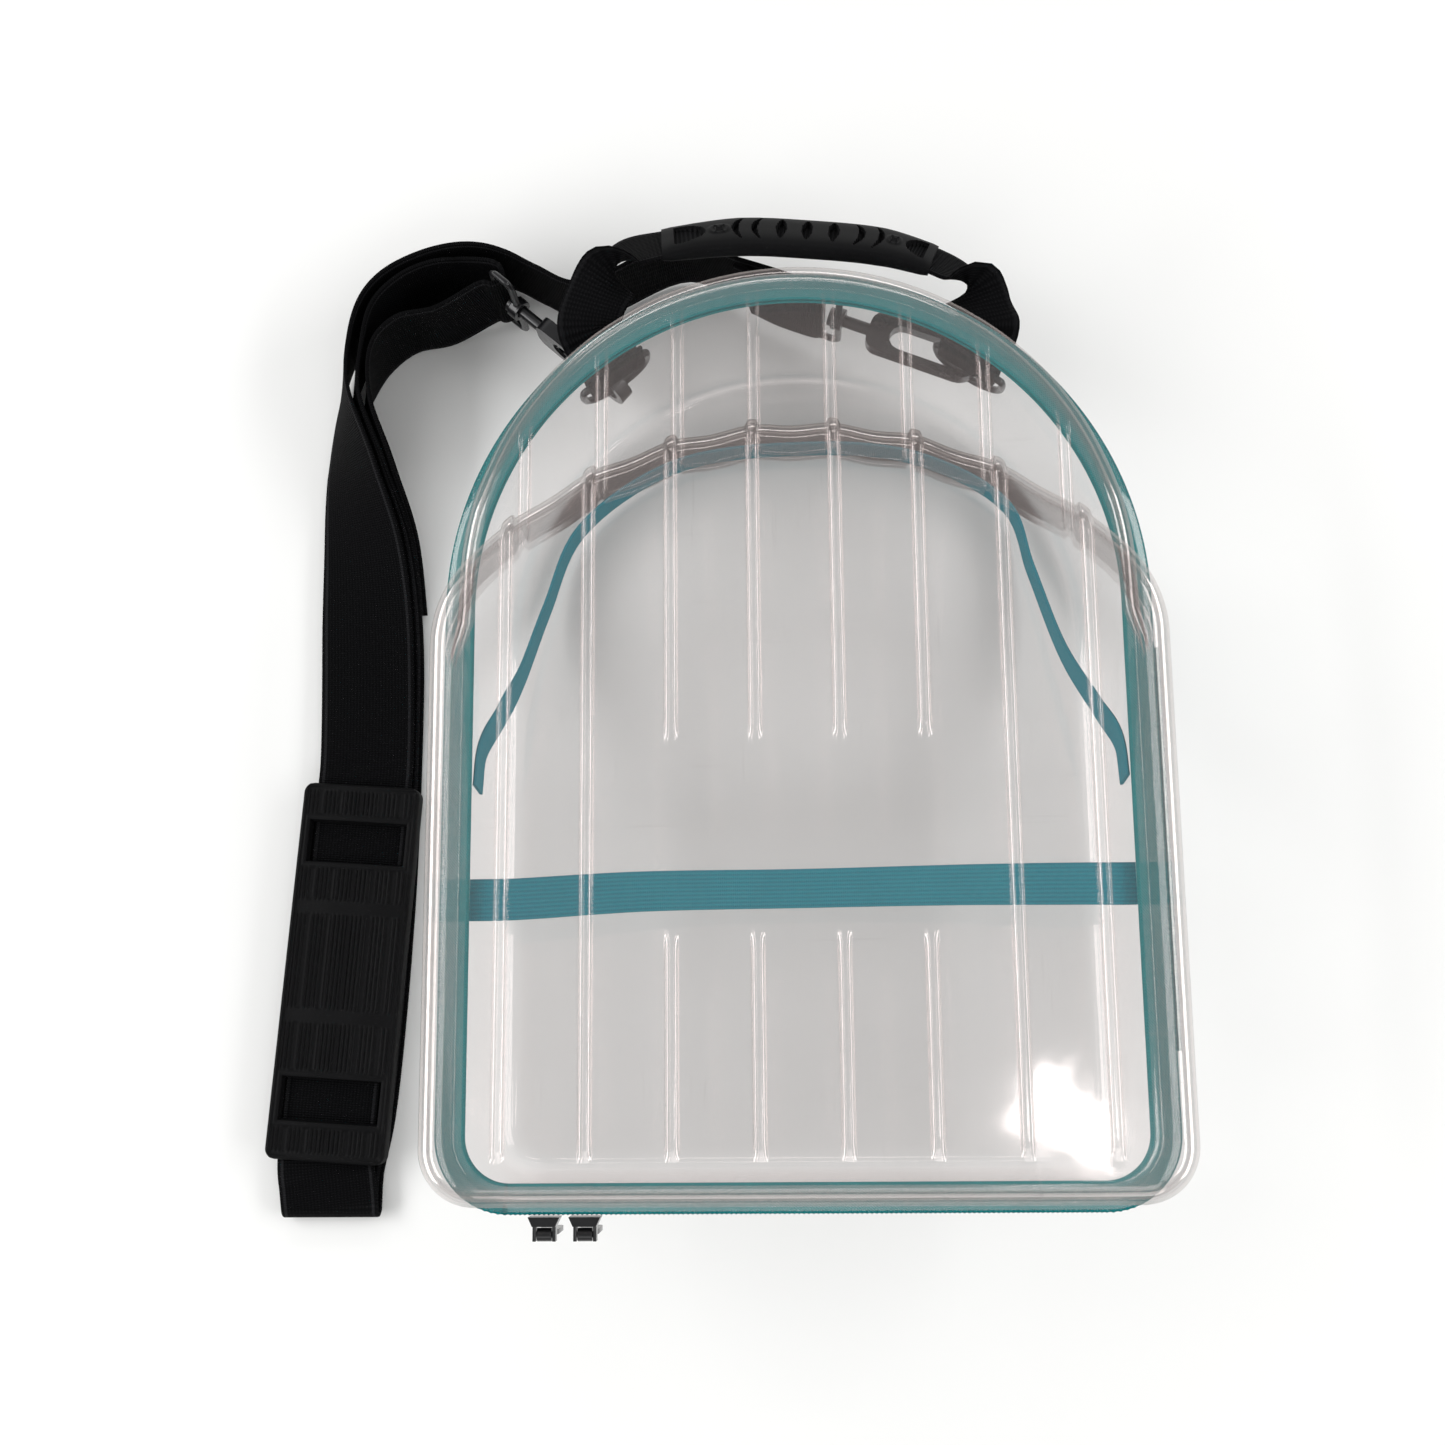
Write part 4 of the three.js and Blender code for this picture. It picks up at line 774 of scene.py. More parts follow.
def strip(name, rows, width, thickness, material, per_span):
    """Woven strip: a flat section with round edges, carried along the route."""
    centre, along, across, out = strip_frame(rows, per_span)
    half, deep = width / 2, thickness / 2
    flat = np.linspace(-1, 1, 9) * (half - deep)
    ends = np.linspace(0, math.pi, 5)[1:-1]
    lower = [(s, -deep) for s in flat]
    right = [(half - deep + deep * math.sin(a), -deep * math.cos(a)) for a in ends]
    upper = [(s, deep) for s in flat[::-1]]
    left = [(deep - half - deep * math.sin(a), deep * math.cos(a)) for a in ends]
    section = np.array(lower + right + upper + left)
    count = len(section)
    points = centre[:, None, :] + across[:, None, :] * section[None, :, 0:1]
    points = points + out[:, None, :] * section[None, :, 1:2]
    length = np.concatenate([[0.0], np.cumsum(np.linalg.norm(np.diff(centre, axis=0), axis=1))])
    uv = np.stack([np.repeat(length, count), np.tile(section[:, 0], len(centre))], axis=1)
    faces = quads(len(centre), count, wrap_columns=True).tolist()
    last = (len(centre) - 1) * count
    faces.append(list(range(count))[::-1])
    faces.append([last + i for i in range(count)])
    return put_mesh(name, points.reshape(-1, 3), faces, material, uv, smooth_angle=60.0)


# %% [markdown]
# Webbing is ribbed across its length, and its two edges are woven denser and catch a little light.
# The broad strap is woven finer than the handle's webbing.

# %% Black webbing
def webbing_cloth(name, pitch, edge_place, edge_shade):
    """Black webbing with ribs across it every pitch and a paler selvedge near its two edges."""
    finish = Finish(name, Roughness=0.75, Specular_IOR_Level=0.05)
    along, across = finish.lay()
    rib = along.wave(pitch) * 0.5 + 0.5
    thread = across.wave(1.3) * 0.5 + 0.5
    from_middle = across.size()
    beyond = from_middle - edge_place
    selvedge = beyond.step(0.0, 0.5) * beyond.step(1.7, 1.2)
    lint = finish.noise(1.2, 4.0).step(0.66, 0.8)
    clouds = finish.noise(30.0, 2.0)
    finish.paint((0.0016, 0.0016, 0.002), (rib * thread * 0.9, (0.0075, 0.0075, 0.0082)),
                 (selvedge * edge_shade, (0.05, 0.05, 0.054)), (lint * 0.25, (0.05, 0.05, 0.053)),
                 (clouds * 0.3, (0.004, 0.004, 0.0044)))
    finish.relief(rib * 0.35 + thread * 0.12 + selvedge * -0.25)
    return finish.material


strap_cloth = webbing_cloth("strap_webbing", 0.9, 16.2, 0.30)
handle_cloth = webbing_cloth("handle_webbing_cloth", 1.8, 10.2, 0.12)


# %% [markdown]
# The rings and hooks stand beside the arch. Their places follow from the same turn and offsets as
# the solids, and the strap's stations start from the bars of the two hook eyes.

# %% Rings and hooks: where they are
RING_TURN = {"right": 56.0, "left": 124.0}
RING_WIDTH = 30.0
RING_BAR_Z = 47.0
RING_LOW_Z = 23.5
RING_BAR_OFFSET = 4.1
RING_LOW_OFFSET = 8.0
HOOK_LENGTH = 64.0
HOOK_HALF_HOLE = 5.0
RING_PLAY = 1.5
SLANT_PLAY = 7.4
RIGHT_HOOK_Z = 28.6
LEFT_HEADING = 138.7
RIGHT_HEADING = 158.0


def beside_arch(turn, offset, z):
    """Point at a turn round the arch's centre, offset outside the wall."""
    radius = HALF_WIDTH + offset
    angle = math.radians(turn)
    return np.array([radius * math.cos(angle), ARCH_Y + radius * math.sin(angle), z])


def heading(turn):
    """Level direction at a turn in degrees."""
    return np.array([math.cos(math.radians(turn)), math.sin(math.radians(turn)), 0.0])


def ring_axes(turn):
    """Lowest point of a ring, the direction along the wall and up the ring's leaning plane."""
    low = beside_arch(turn, RING_LOW_OFFSET, RING_LOW_Z)
    up = unit(beside_arch(turn, RING_BAR_OFFSET, RING_BAR_Z) - low)
    return low, np.array([math.sin(math.radians(turn)), -math.cos(math.radians(turn)), 0.0]), up


left_seat = beside_arch(RING_TURN["left"], RING_LOW_OFFSET, RING_LOW_Z)
low, along_wall, up = ring_axes(RING_TURN["right"])
rise = RIGHT_HOOK_Z - RING_LOW_Z
reach = math.sqrt((RING_WIDTH / 2) ** 2 - (RING_WIDTH / 2 - rise) ** 2)
right_wire = low - along_wall * reach + up * rise
outward = unit(np.array([right_wire[0], right_wire[1] - ARCH_Y, 0.0]))
nose = WIRE + RING_PLAY
right_seat = right_wire + outward * (HOOK_HALF_HOLE - nose) - heading(RIGHT_HEADING) * SLANT_PLAY
left_eye = left_seat + heading(LEFT_HEADING) * HOOK_LENGTH
right_eye = right_seat + heading(RIGHT_HEADING) * HOOK_LENGTH
print("eyes", left_eye.round(1), right_eye.round(1))

# %% [markdown]
# The strap is one length: a sewn tail round the left hook's eye, a run down beside the case, a flat
# fold, the run back up through the pad, a bend on edge at the upper left, and along the top of the
# case to the right hook's eye. Each station says how far out from the left wall and how far down
# from the top it lies, how far it leans from flat (0) to on edge (90), and the height it rests at.

# %% Strap stations
LAYER = STRAP_THICKNESS + GAP + 0.1
REST_LOW = STRAP_THICKNESS / 2 + GAP
REST_BACK = REST_LOW + LAYER
REST_OUTER = REST_LOW + 2 * LAYER
PAD_WIDTH = 47.0
PAD_LENGTH = 147.0
PAD_TURN = math.radians(4.2)
PAD_TOP = 4.0
PAD_BASE = 1.5
PAD_WINDOW = 16.5
PAD_INSET = 15.0
PAD_BOTTOM = REST_BACK + STRAP_THICKNESS / 2 + GAP
REST_PAD = PAD_BOTTOM + PAD_BASE + 1.5 * GAP + STRAP_THICKNESS / 2
PAD_FOOT = np.array([-(HALF_WIDTH + 65.3), TOP_Y - 321.0])
PAD_HEAD = PAD_FOOT + PAD_LENGTH * np.array([math.sin(PAD_TURN), math.cos(PAD_TURN)])


def strap_station(x, y, lean, rest, lift=0.0):
    """Centre and width direction of the strap where it leans by so many degrees and its lower edge
    or face rests at the given height."""
    tilt = math.radians(lean)
    z = rest * math.cos(tilt) + (STRAP_WIDTH / 2 + GAP) * math.sin(tilt) + 0.5 * math.sin(2 * tilt) + lift
    return [x, y, z], [math.cos(tilt), 0.0, math.sin(tilt)]


def bar_turn(eye, turn, radius, start, end):
    """Stations of the strap's turn round the bar of an eye."""
    middle = eye + heading(turn) * (radius - WIRE - 3 * GAP - STRAP_THICKNESS / 2)
    angles = np.linspace(turn + start, turn + end, 6)
    return [((middle + radius * heading(angle)).tolist(), [0.0, 0.0, 1.0]) for angle in angles]


FOLD_DOWN = 338.4
FOLD_RADIUS = 2.8


def strap_stations():
    """Every station of the strap, from the sewn tail at the left hook to the one at the right."""
    fold_out = 63.2

    def rows(table):
        return [strap_station(-HALF_WIDTH - out, TOP_Y - down, lean, rest)
                for out, down, lean, rest in table]

    tail = [(51, 103, 0), (52, 74, 16), (54.5, 44, 45), (55.5, 17, 72), (50.5, -3, 86), (40, -13.5, 90),
            (24, -17, 90)]
    back = [(13.5, -37.5, 90), (26, -37, 90), (39, -31.5, 90), (50.5, -20, 88), (57.5, -2, 78),
            (60.5, 17, 70), (58, 44, 45), (54, 76, 16), (52, 113, 0)]
    flat = [(51.5, 150, 0, REST_LOW + 0.7), (53, 223, 0, REST_LOW + 0.1), (58.6, 302, 0, REST_LOW),
            (fold_out - 0.5, 324, 0, REST_LOW), (fold_out, FOLD_DOWN - 1.0, 0, REST_LOW)]
    fold = [(fold_out, FOLD_DOWN + FOLD_RADIUS * math.cos(a), 0, REST_LOW + FOLD_RADIUS * (1 + math.sin(a)))
            for a in np.radians([-60, 0, 60, 90])]
    foot_out, head_out = -PAD_FOOT[0] - HALF_WIDTH, -PAD_HEAD[0] - HALF_WIDTH
    foot_down, head_down = TOP_Y - PAD_FOOT[1], TOP_Y - PAD_HEAD[1]
    in_pad = [((fold_out + foot_out) / 2, foot_down + 8.5, 0, REST_PAD), (foot_out, foot_down, 0, REST_PAD),
              ((foot_out + head_out) / 2, (foot_down + head_down) / 2, 0, REST_PAD),
              (head_out, head_down, 0, REST_PAD), (54, 164, 0, REST_PAD), (55.5, 113, 1, REST_OUTER + 0.6)]
    outer = [(57, 78, 19), (61.5, 44, 46), (65, 15, 70), (62.5, -6, 78), (55.5, -23, 86), (45.5, -33.5, 90),
             (31, -41, 90), (16.5, -44.3, 90), (5.5, -43.8, 90), (-4.5, -40.5, 90), (-17, -33.5, 90),
             (-34, -26, 90)]
    lift = right_eye[2] - STRAP_WIDTH / 2 - GAP
    along = heading(RIGHT_HEADING)
    aside = np.array([along[1], -along[0], 0.0])

    def near_right(table):
        stations = []
        for ahead, beside, share in table:
            point = right_eye + along * ahead + aside * beside
            stations.append(strap_station(point[0], point[1], 90, REST_OUTER, lift * share))
        return stations

    return (rows([row + (REST_LOW,) for row in tail]) + bar_turn(left_eye, LEFT_HEADING, 4.6, 100, 265)
            + rows([row + (REST_BACK,) for row in back]) + rows(flat + fold + in_pad)
            + rows([row + (REST_OUTER,) for row in outer])
            + near_right([(60, 5.5, 0.08), (34, 4.5, 0.45), (14, 3.4, 0.9)])
            + bar_turn(right_eye, RIGHT_HEADING, 2.8, 270, 90)
            + near_right([(14, -2.6, 0.9), (32, 0.8, 0.5)]))


strap_rows = strap_stations()
shoulder_strap = strip("strap_webbing", strap_rows, STRAP_WIDTH, STRAP_THICKNESS, strap_cloth, per_span=9)
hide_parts("shoulder_strap")
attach(shoulder_strap, "case")

# %% [markdown]
# The handle webbing is looped round the bar of each ring and rises in a bow over the top of the
# case. Its grip is a soft rubber moulding, so the webbing shows only at the ends and through the
# grip's cut-outs.

# %% Handle webbing
HANDLE_THICKNESS = 1.6
GRIP_LEAN = math.radians(40)


def handle_stations():
    """Stations of the handle: a loop round each ring's bar and the bow between them, whose width
    turns from along the wall to the grip's lean."""
    lean = np.array([0.0, math.cos(GRIP_LEAN), -math.sin(GRIP_LEAN)])
    loop = WIRE + 1.9 * GAP + HANDLE_THICKNESS / 2
    slant = loop * 0.7
    steps = [(-loop, 14), (-loop, 1), (-slant, -slant), (0, -loop), (slant, -slant), (loop, 1), (loop + 2, 9)]

    def end(side, sign, bow):
        turn = RING_TURN[side]
        across = sign * ring_axes(turn)[1]
        return [(beside_arch(turn, RING_BAR_OFFSET + out, RING_BAR_Z + up_by), across)
                for out, up_by in steps + [(loop + bow, 15)]]

    left, right = end("left", 1, 12), end("right", -1, 7)
    bow = [(-72, 15, 60, 0.35), (-65, 27, 57, 0.75), (-50, 32, 55.5, 1), (-20, 34.5, 55.5, 1),
           (8, 32.5, 55.5, 1), (36, 28.5, 55.5, 1), (56, 22, 55.5, 1), (68, 13, 57, 0.7), (72, 3, 60, 0.3)]
    middle = []
    for x, above, z, twist in bow:
        side = left[0][1] if x < 0 else right[0][1]
        middle.append((np.array([x, TOP_Y + above, z]), unit(side * (1 - twist) + lean * twist)))
    return left + middle + right[::-1]


handle_rows = handle_stations()
handle = strip("handle_strip", handle_rows, HANDLE_WIDTH, HANDLE_THICKNESS, handle_cloth, per_span=10)
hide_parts("handle_webbing")
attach(handle, "case")

# %% [markdown]
# The rubber is nearly black and matt, with cloudy wear and a little dust. Its darkness matters more
# than its grain: a gloss as strong as on most plastics would turn it grey under the light banks.

# %% Rubber
def pad_finish():
    """Matt rubber, worn and dusty in clouds."""
    finish = Finish("pad_rubber", Specular_IOR_Level=0.06)
    grain = finish.noise(0.5, 2.0)
    clouds = finish.noise(18.0, 3.0)
    dust = finish.noise(1.0, 5.0).step(0.62, 0.8)
    finish.paint((0.0045, 0.0045, 0.00486), (clouds * 0.5, (0.00765, 0.00765, 0.0081)),
                 (dust * 0.2, (0.05, 0.05, 0.05)))
    finish.drive("Roughness", clouds * 0.15 + 0.43)
    finish.relief(grain * 0.10 + clouds * 0.05)
    return finish.material


pad_rubber = pad_finish()

# %% [markdown]
# The grip has a section like a cushion that grows out of its two ends. Cut-outs show the webbing
# below: a half moon near each end, then two crescents, and three slim lenses in the middle. Each is
# pressed into the grip's surface as a pit with steep walls, and its floor gets the webbing's ribs in
# the material.

# %% Grip
GRIP_FIRST, GRIP_LAST = 10, 14
GRIP_HALF_WIDTH = 13.5
GRIP_HALF_DEPTH = 4.0
GRIP_LENGTH = 116.0
PIT_DEPTH = 0.62


def grip_pits(u, v):
    """Depth share of the pits at length share u (0 to 1) and place across v (-1 to 1)."""
    pit = np.zeros_like(u)
    for end in (0.0, 1.0):
        away = np.abs(u - end) * GRIP_LENGTH
        moon = (away > 5.0) & (np.hypot((away - 5.0) / 11.5, v / 0.62) < 1.0)
        pit = np.maximum(pit, moon * 1.0)
    for middle in (0.40, 0.49, 0.58):
        bow = 2.0 * np.maximum(1 - (v / 0.66) ** 2, 0)
        pit = np.maximum(pit, (np.abs(u - middle) * GRIP_LENGTH < bow) * 1.0)
    for place, away in ((31.0, -3.0), (38.5, -3.0), (75.5, 3.0), (83.5, 3.0)):
        bow = np.maximum(1 - (v / 0.74) ** 2, 0)
        pit = np.maximum(pit, (np.abs(u * GRIP_LENGTH - place - away * bow) < 1.1 * bow) * 1.0)
    return pit


def grip_shape():
    """Superellipse sections along the handle's route, pressed in at the pits on both broad faces."""
    part = handle_rows[GRIP_FIRST:GRIP_LAST + 1]
    centre = through([row[0] for row in part], 60)
    across0 = np.array(part[0][1])
    along = unit(np.gradient(centre, axis=0))
    wide = unit(across0 - along * (along @ across0)[:, None])
    out = np.cross(along, wide)
    u = np.linspace(0, 1, len(centre))
    ends = np.minimum(u, 1 - u)
    size = np.interp(ends, [0, 0.03, 0.1, 0.25, 0.5], [0.62, 0.8, 0.93, 1.0, 1.0])
    half_wide = GRIP_HALF_WIDTH * np.maximum(size, 0.93)
    half_deep = GRIP_HALF_DEPTH * size
    angle = np.linspace(0, 2 * math.pi, 128, endpoint=False)
    power = 0.62
    c = np.sign(np.cos(angle)) * np.abs(np.cos(angle)) ** power
    s = np.sign(np.sin(angle)) * np.abs(np.sin(angle)) ** power
    uu, cc = np.meshgrid(u, c, indexing="ij")
    ss = np.tile(s, (len(u), 1))
    on_faces = np.abs(ss) > 0.5
    pit = grip_pits(uu, cc) * on_faces
    dots = np.zeros_like(uu)
    for place in (0.19, 0.80):
        away = np.hypot((uu - place) * GRIP_LENGTH, cc * GRIP_HALF_WIDTH)
        dots += 0.5 * np.exp(-((away - 3.6) / 0.5) ** 2) + 0.9 * (away < 1.5)
    height = half_deep[:, None] * (1 - PIT_DEPTH * pit) + dots * on_faces
    points = (centre[:, None, :] + wide[:, None, :] * (cc * half_wide[:, None])[..., None]
              + out[:, None, :] * (ss * height)[..., None])
    uv = np.stack([uu * GRIP_LENGTH, pit * 10.0], axis=2)
    rows, count = points.shape[:2]
    faces = quads(rows, count, wrap_columns=True).tolist()
    last = (rows - 1) * count
    faces.append(list(range(count))[::-1])
    faces.append([last + i for i in range(count)])
    return put_mesh("grip_moulding", points.reshape(-1, 3), faces, grip_skin, uv.reshape(-1, 2),
                    smooth_angle=38.0)


def grip_finish():
    """Rubber whose pits show ribbed webbing. The mesh's second coordinate is 10 in a pit, else 0."""
    finish = Finish("grip_skin", Specular_IOR_Level=0.05)
    along, depth = finish.lay()
    floor = depth.step(4.0, 6.0)
    rib = (along.wave(1.8) * 0.5 + 0.5) * floor
    clouds = finish.noise(18.0, 3.0)
    dust = finish.noise(1.0, 5.0).step(0.62, 0.8)
    finish.paint((0.004, 0.004, 0.0044), (clouds * 0.4, (0.009, 0.009, 0.0096)),
                 (rib * 0.7, (0.016, 0.016, 0.017)), (dust * 0.2, (0.05, 0.05, 0.05)))
    finish.drive("Roughness", floor * 0.3 + clouds * 0.12 + 0.42)
    finish.relief(rib * 0.5 + clouds * 0.05)
    return finish.material


grip_skin = grip_finish()
grip = grip_shape()
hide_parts("handle_grip")
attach(grip, "case")

# %% [markdown]
# The shoulder pad is a rubber sleeve. Its upper face has a raised border, two windows that show the
# strap, two smooth bars, and fields of fine lengthwise ribs. The whole upper face is one height for
# every place on it, so borders, fields and windows are written as steps of that height.


# %% Shoulder pad
PAD_FIELDS = ((2.6, 13.0), (33.6, 53.0), (57.3, 95.5), (99.8, 113.8), (134.0, 144.6))
PAD_RIB_PITCH = 1.7
PAD_COLUMN_PITCH = 8.0
PAD_SAG = 0.9
PAD_CORNER = 4.0
PAD_EDGE = 1.6


def pad_height(x, y):
    """Height of the pad's upper face above its underside. x runs from its middle line, y from its
    lower end."""
    half = PAD_WIDTH / 2
    top = REST_PAD - PAD_BOTTOM + STRAP_THICKNESS / 2 + GAP + PAD_TOP
    edge = np.minimum(half - np.abs(x), np.minimum(y, PAD_LENGTH - y))
    outwards = smooth(np.abs(x), 6.0, half)
    height = top - 0.5 - PAD_SAG * outwards + (0.3 + 0.5 * outwards) * (1 - smooth(edge, 1.2, 2.2))
    fields = np.zeros_like(x)
    for low, high in PAD_FIELDS:
        fields = np.maximum(fields, smooth(y, low, low + 1.2) * (1 - smooth(y, high - 1.2, high)))
    ribs = np.abs(np.sin(math.pi * x / PAD_RIB_PITCH))
    half_column = PAD_COLUMN_PITCH / 2
    gaps = smooth(np.abs(np.mod(x + half_column, PAD_COLUMN_PITCH) - half_column), 0.4, 1.1)
    height += fields * (-0.6 + 0.7 * ribs * gaps) * (1 - smooth(np.abs(x), 20.4, 21.0))
    dip = np.zeros_like(x)
    for low in (PAD_INSET, PAD_LENGTH - PAD_INSET - PAD_WINDOW):
        across = np.minimum(y - low, low + PAD_WINDOW - y)
        inside = np.minimum(across, STRAP_WIDTH / 2 + 0.4 - np.abs(x))
        dip = np.maximum(dip, smooth(inside, 0.0, 0.6))
        height += 0.5 * np.exp(-((inside + 1.3) / 0.9) ** 2)
    return height * (1 - dip) + (PAD_BASE - 0.2) * dip


def shoulder_pad():
    """Upper face as a height field, a rounded side wall, and a flat underside."""
    columns, rows = 111, 330
    v, u = np.meshgrid(np.linspace(0, 1, rows), np.linspace(-1, 1, columns), indexing="ij")

    def rounding(radius, distance):
        """How far a corner of a radius falls back at a distance from the edge."""
        return radius - np.sqrt(np.maximum(radius**2 - np.maximum(radius - distance, 0) ** 2, 0))

    y = v * PAD_LENGTH
    half = PAD_WIDTH / 2 - rounding(PAD_CORNER, np.minimum(y, PAD_LENGTH - y))
    x = u * half
    edge = np.minimum(np.minimum(half - np.abs(x), y), PAD_LENGTH - y)
    z = pad_height(x, y) - rounding(PAD_EDGE, edge)
    top = np.stack([x, y, z], axis=2)
    low = np.stack([x, y, np.zeros_like(x)], axis=2)
    count = rows * columns
    cells = quads(rows, columns)
    index = np.arange(count).reshape(rows, columns)
    rim = np.concatenate([index[0], index[1:, -1], index[-1, -2::-1], index[-2:0:-1, 0]])
    side = np.stack([rim, rim + count, np.roll(rim, -1) + count, np.roll(rim, -1)], axis=1)
    faces = np.concatenate([cells, cells[:, ::-1] + count, side])
    points = np.concatenate([top.reshape(-1, 3), low.reshape(-1, 3)])
    turned = points.copy()
    turned[:, 0] = PAD_FOOT[0] + points[:, 0] * math.cos(PAD_TURN) + points[:, 1] * math.sin(PAD_TURN)
    turned[:, 1] = PAD_FOOT[1] - points[:, 0] * math.sin(PAD_TURN) + points[:, 1] * math.cos(PAD_TURN)
    turned[:, 2] = PAD_BOTTOM + points[:, 2]
    return put_mesh("pad_sleeve", turned, faces, pad_rubber, smooth_angle=38.0)


pad = shoulder_pad()
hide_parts("shoulder_pad")
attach(pad, "case")

# %% [markdown]
# Two elastic bands hang inside the back half. They are teal too, with fine ribs along their length
# where the rubber threads lie.


# %% Elastic bands
def elastic_cloth():
    """Teal elastic with ribs along its length and a fine thread across it."""
    finish = Finish("teal_elastic_cloth", Roughness=0.85, Specular_IOR_Level=0.15)
    along, across = finish.lay()
    rib = across.wave(1.5) * 0.5 + 0.5
    thread = along.wave(0.8) * 0.5 + 0.5
    clouds = finish.noise(20.0, 3.0)
    finish.paint((0.004, 0.14, 0.19), (rib * 0.8, (0.006, 0.215, 0.27)),
                 (clouds * 0.4, (0.008, 0.25, 0.29)), (thread * 0.15, (0.004, 0.08, 0.1)))
    finish.relief(rib * 0.25 + thread * 0.1)
    return finish.material


elastic = elastic_cloth()
BAND_WIDTH = 15.0
BAND_THICKNESS = 1.2
band_floor = WALL + GAP + BAND_WIDTH / 2
band_under_tape = ZIP_Z - TAPE_GAP - TAPE_THICKNESS - GAP - BAND_THICKNESS / 2
band_high = BACK_Z - BAND_WIDTH / 2 - GAP
inner_half = HALF_WIDTH - WALL
at_wall = 1 - (GAP + BAND_THICKNESS / 2) / inner_half
at_tape = 1 - GAP / inner_half


def band_stations(table):
    """Stations from rows of place across as a share of the inner half width, y, z, how far the
    band's width leans up from level, and how far it turns from across."""
    stations = []
    for share, y, z, lean, turn in table:
        tilt, swing = math.radians(lean), math.radians(turn)
        across = [math.cos(tilt) * math.cos(swing), math.cos(tilt) * math.sin(swing), math.sin(tilt)]
        stations.append(([share * inner_half, y, z], across))
    return stations


lower_table = [(-at_tape, -63, 0, 0), (-0.95, -63, 0, 0), (-0.86, -62.5, -4, 0), (-0.5, -59, -20, 14),
               (0, -58, -27, 20), (0.5, -58, -20, 14), (0.86, -59.5, -4, 0), (0.95, -60, 0, 0),
               (at_tape, -60, 0, 0)]
upper_table = [(-at_wall, -22, band_high), (0.008 - at_wall, -8, band_high - 2), (-0.955, 8, band_high - 18),
               (-0.92, 28, band_floor + 15), (-0.85, 59, band_floor + 3.2), (-0.74, 92, band_floor + 0.8),
               (-0.42, 119, band_floor + 0.3), (0, 126, band_floor), (0.42, 121, band_floor),
               (0.73, 99, band_floor + 0.6), (0.8, 72, band_floor + 2.6), (0.88, 36, band_floor + 13),
               (0.95, 8, band_high - 18), (at_wall - 0.008, -8, band_high - 2), (at_wall, -22, band_high)]
lower_rows = band_stations([(share, y, band_under_tape + z, lean, 90) for share, y, z, lean in lower_table])
upper_rows = band_stations([(share, y, z, 90, 0) for share, y, z in upper_table])
for name, rows in (("lower_band", lower_rows), ("upper_band", upper_rows)):
    band = strip(f"{name}_elastic", rows, BAND_WIDTH, BAND_THICKNESS, elastic, per_span=8)
    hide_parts(name)
    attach(band, "case")


# %% [markdown]
# The two rings are bent wire: a round section carried round a closed path. The hooks, their eyes,
# the sliders and the pulls are copies of the solids whose edges are rounded with a bevel.

# %% Black metal
def black_metal_coat():
    """Black lacquer over metal, clouded by handling, with a few bright specks that are painted glints."""
    finish = Finish("black_metal_coat", Metallic=0.35, Coat_Weight=0.4)
    clouds = finish.noise(6.0, 3.0)
    glint_specks = finish.noise(0.7, 4.0).step(0.7, 0.78)
    # The bright specks are painted glints.
    finish.paint((0.008, 0.008, 0.009), (clouds * 0.5, (0.016, 0.016, 0.018)),
                 (glint_specks * 0.5, (0.12, 0.12, 0.12)))
    finish.drive("Roughness", clouds * 0.25 + 0.18)
    finish.relief(clouds * 0.04)
    return finish.material


black_metal = black_metal_coat()


def wire_ring(name, corners, node):
    """Closed round wire. The path is smoothed through its corner points; the section is a circle
    in the plane of the path's normal and the loop's own normal."""
    closed = np.asarray(corners + corners[:3])
    path = through(closed, 8)[8:-16]
    path = path[:-1] if np.allclose(path[0], path[-1], atol=1e-6) else path
    along = unit(np.roll(path, -1, axis=0) - np.roll(path, 1, axis=0))
    middle = path.mean(axis=0)
    normal = unit(np.cross(path - middle, along).mean(axis=0))
    side = unit(np.cross(along, normal))
    angle = np.linspace(0, 2 * math.pi, 14, endpoint=False)
    points = (path[:, None, :] + WIRE * (side[:, None, :] * np.cos(angle)[None, :, None]
                                         + normal[None, None, :] * np.sin(angle)[None, :, None]))
    faces = quads(len(path), len(angle), wrap_rows=True, wrap_columns=True)
    piece = put_mesh(name, points.reshape(-1, 3), faces, black_metal, smooth_angle=60.0)
    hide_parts(node)
    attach(piece, "case")


for side in ("left", "right"):
    low, along_wall, up = ring_axes(RING_TURN[side])
    half = RING_WIDTH / 2
    leaning = math.hypot(RING_BAR_Z - RING_LOW_Z, RING_LOW_OFFSET - RING_BAR_OFFSET)
    flat = [(half * math.cos(a), half + half * math.sin(a)) for a in np.radians(np.linspace(-180, 0, 10))]
    flat += [(half, leaning - 3.0), (half - 0.6, leaning - 0.6), (half - 3.0, leaning), (0.0, leaning),
             (3.0 - half, leaning), (0.6 - half, leaning - 0.6), (-half, leaning - 3.0)]
    wire_ring(f"ring_{side}", [low + along_wall * a + up * b for a, b in flat], f"d_ring_{side}")


def softened(name, node, body, width):
    """Copy of a solid whose loose triangles are merged and whose edges are then rounded."""
    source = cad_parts[node]
    mesh = source.data.copy()
    work = bmesh.new()
    work.from_mesh(mesh)
    bmesh.ops.remove_doubles(work, verts=work.verts, dist=2e-6)
    bmesh.ops.dissolve_limit(work, angle_limit=math.radians(1.0), verts=work.verts, edges=work.edges)
    work.to_mesh(mesh)
    work.free()
    mesh.materials.clear()
    mesh.materials.append(black_metal)
    piece = bpy.data.objects.new(name, mesh)
    bpy.context.scene.collection.objects.link(piece)
    bevel = piece.modifiers.new("round_edges", "BEVEL")
    bevel.width = width * MM
    bevel.segments = 2
    bevel.limit_method = "ANGLE"
    bevel.angle_limit = math.radians(32)
    mesh.shade_smooth()
    mesh.set_sharp_from_angle(angle=math.radians(50))
    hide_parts(node)
    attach(piece, body)
    print(name, len(mesh.polygons), "faces")
    return piece


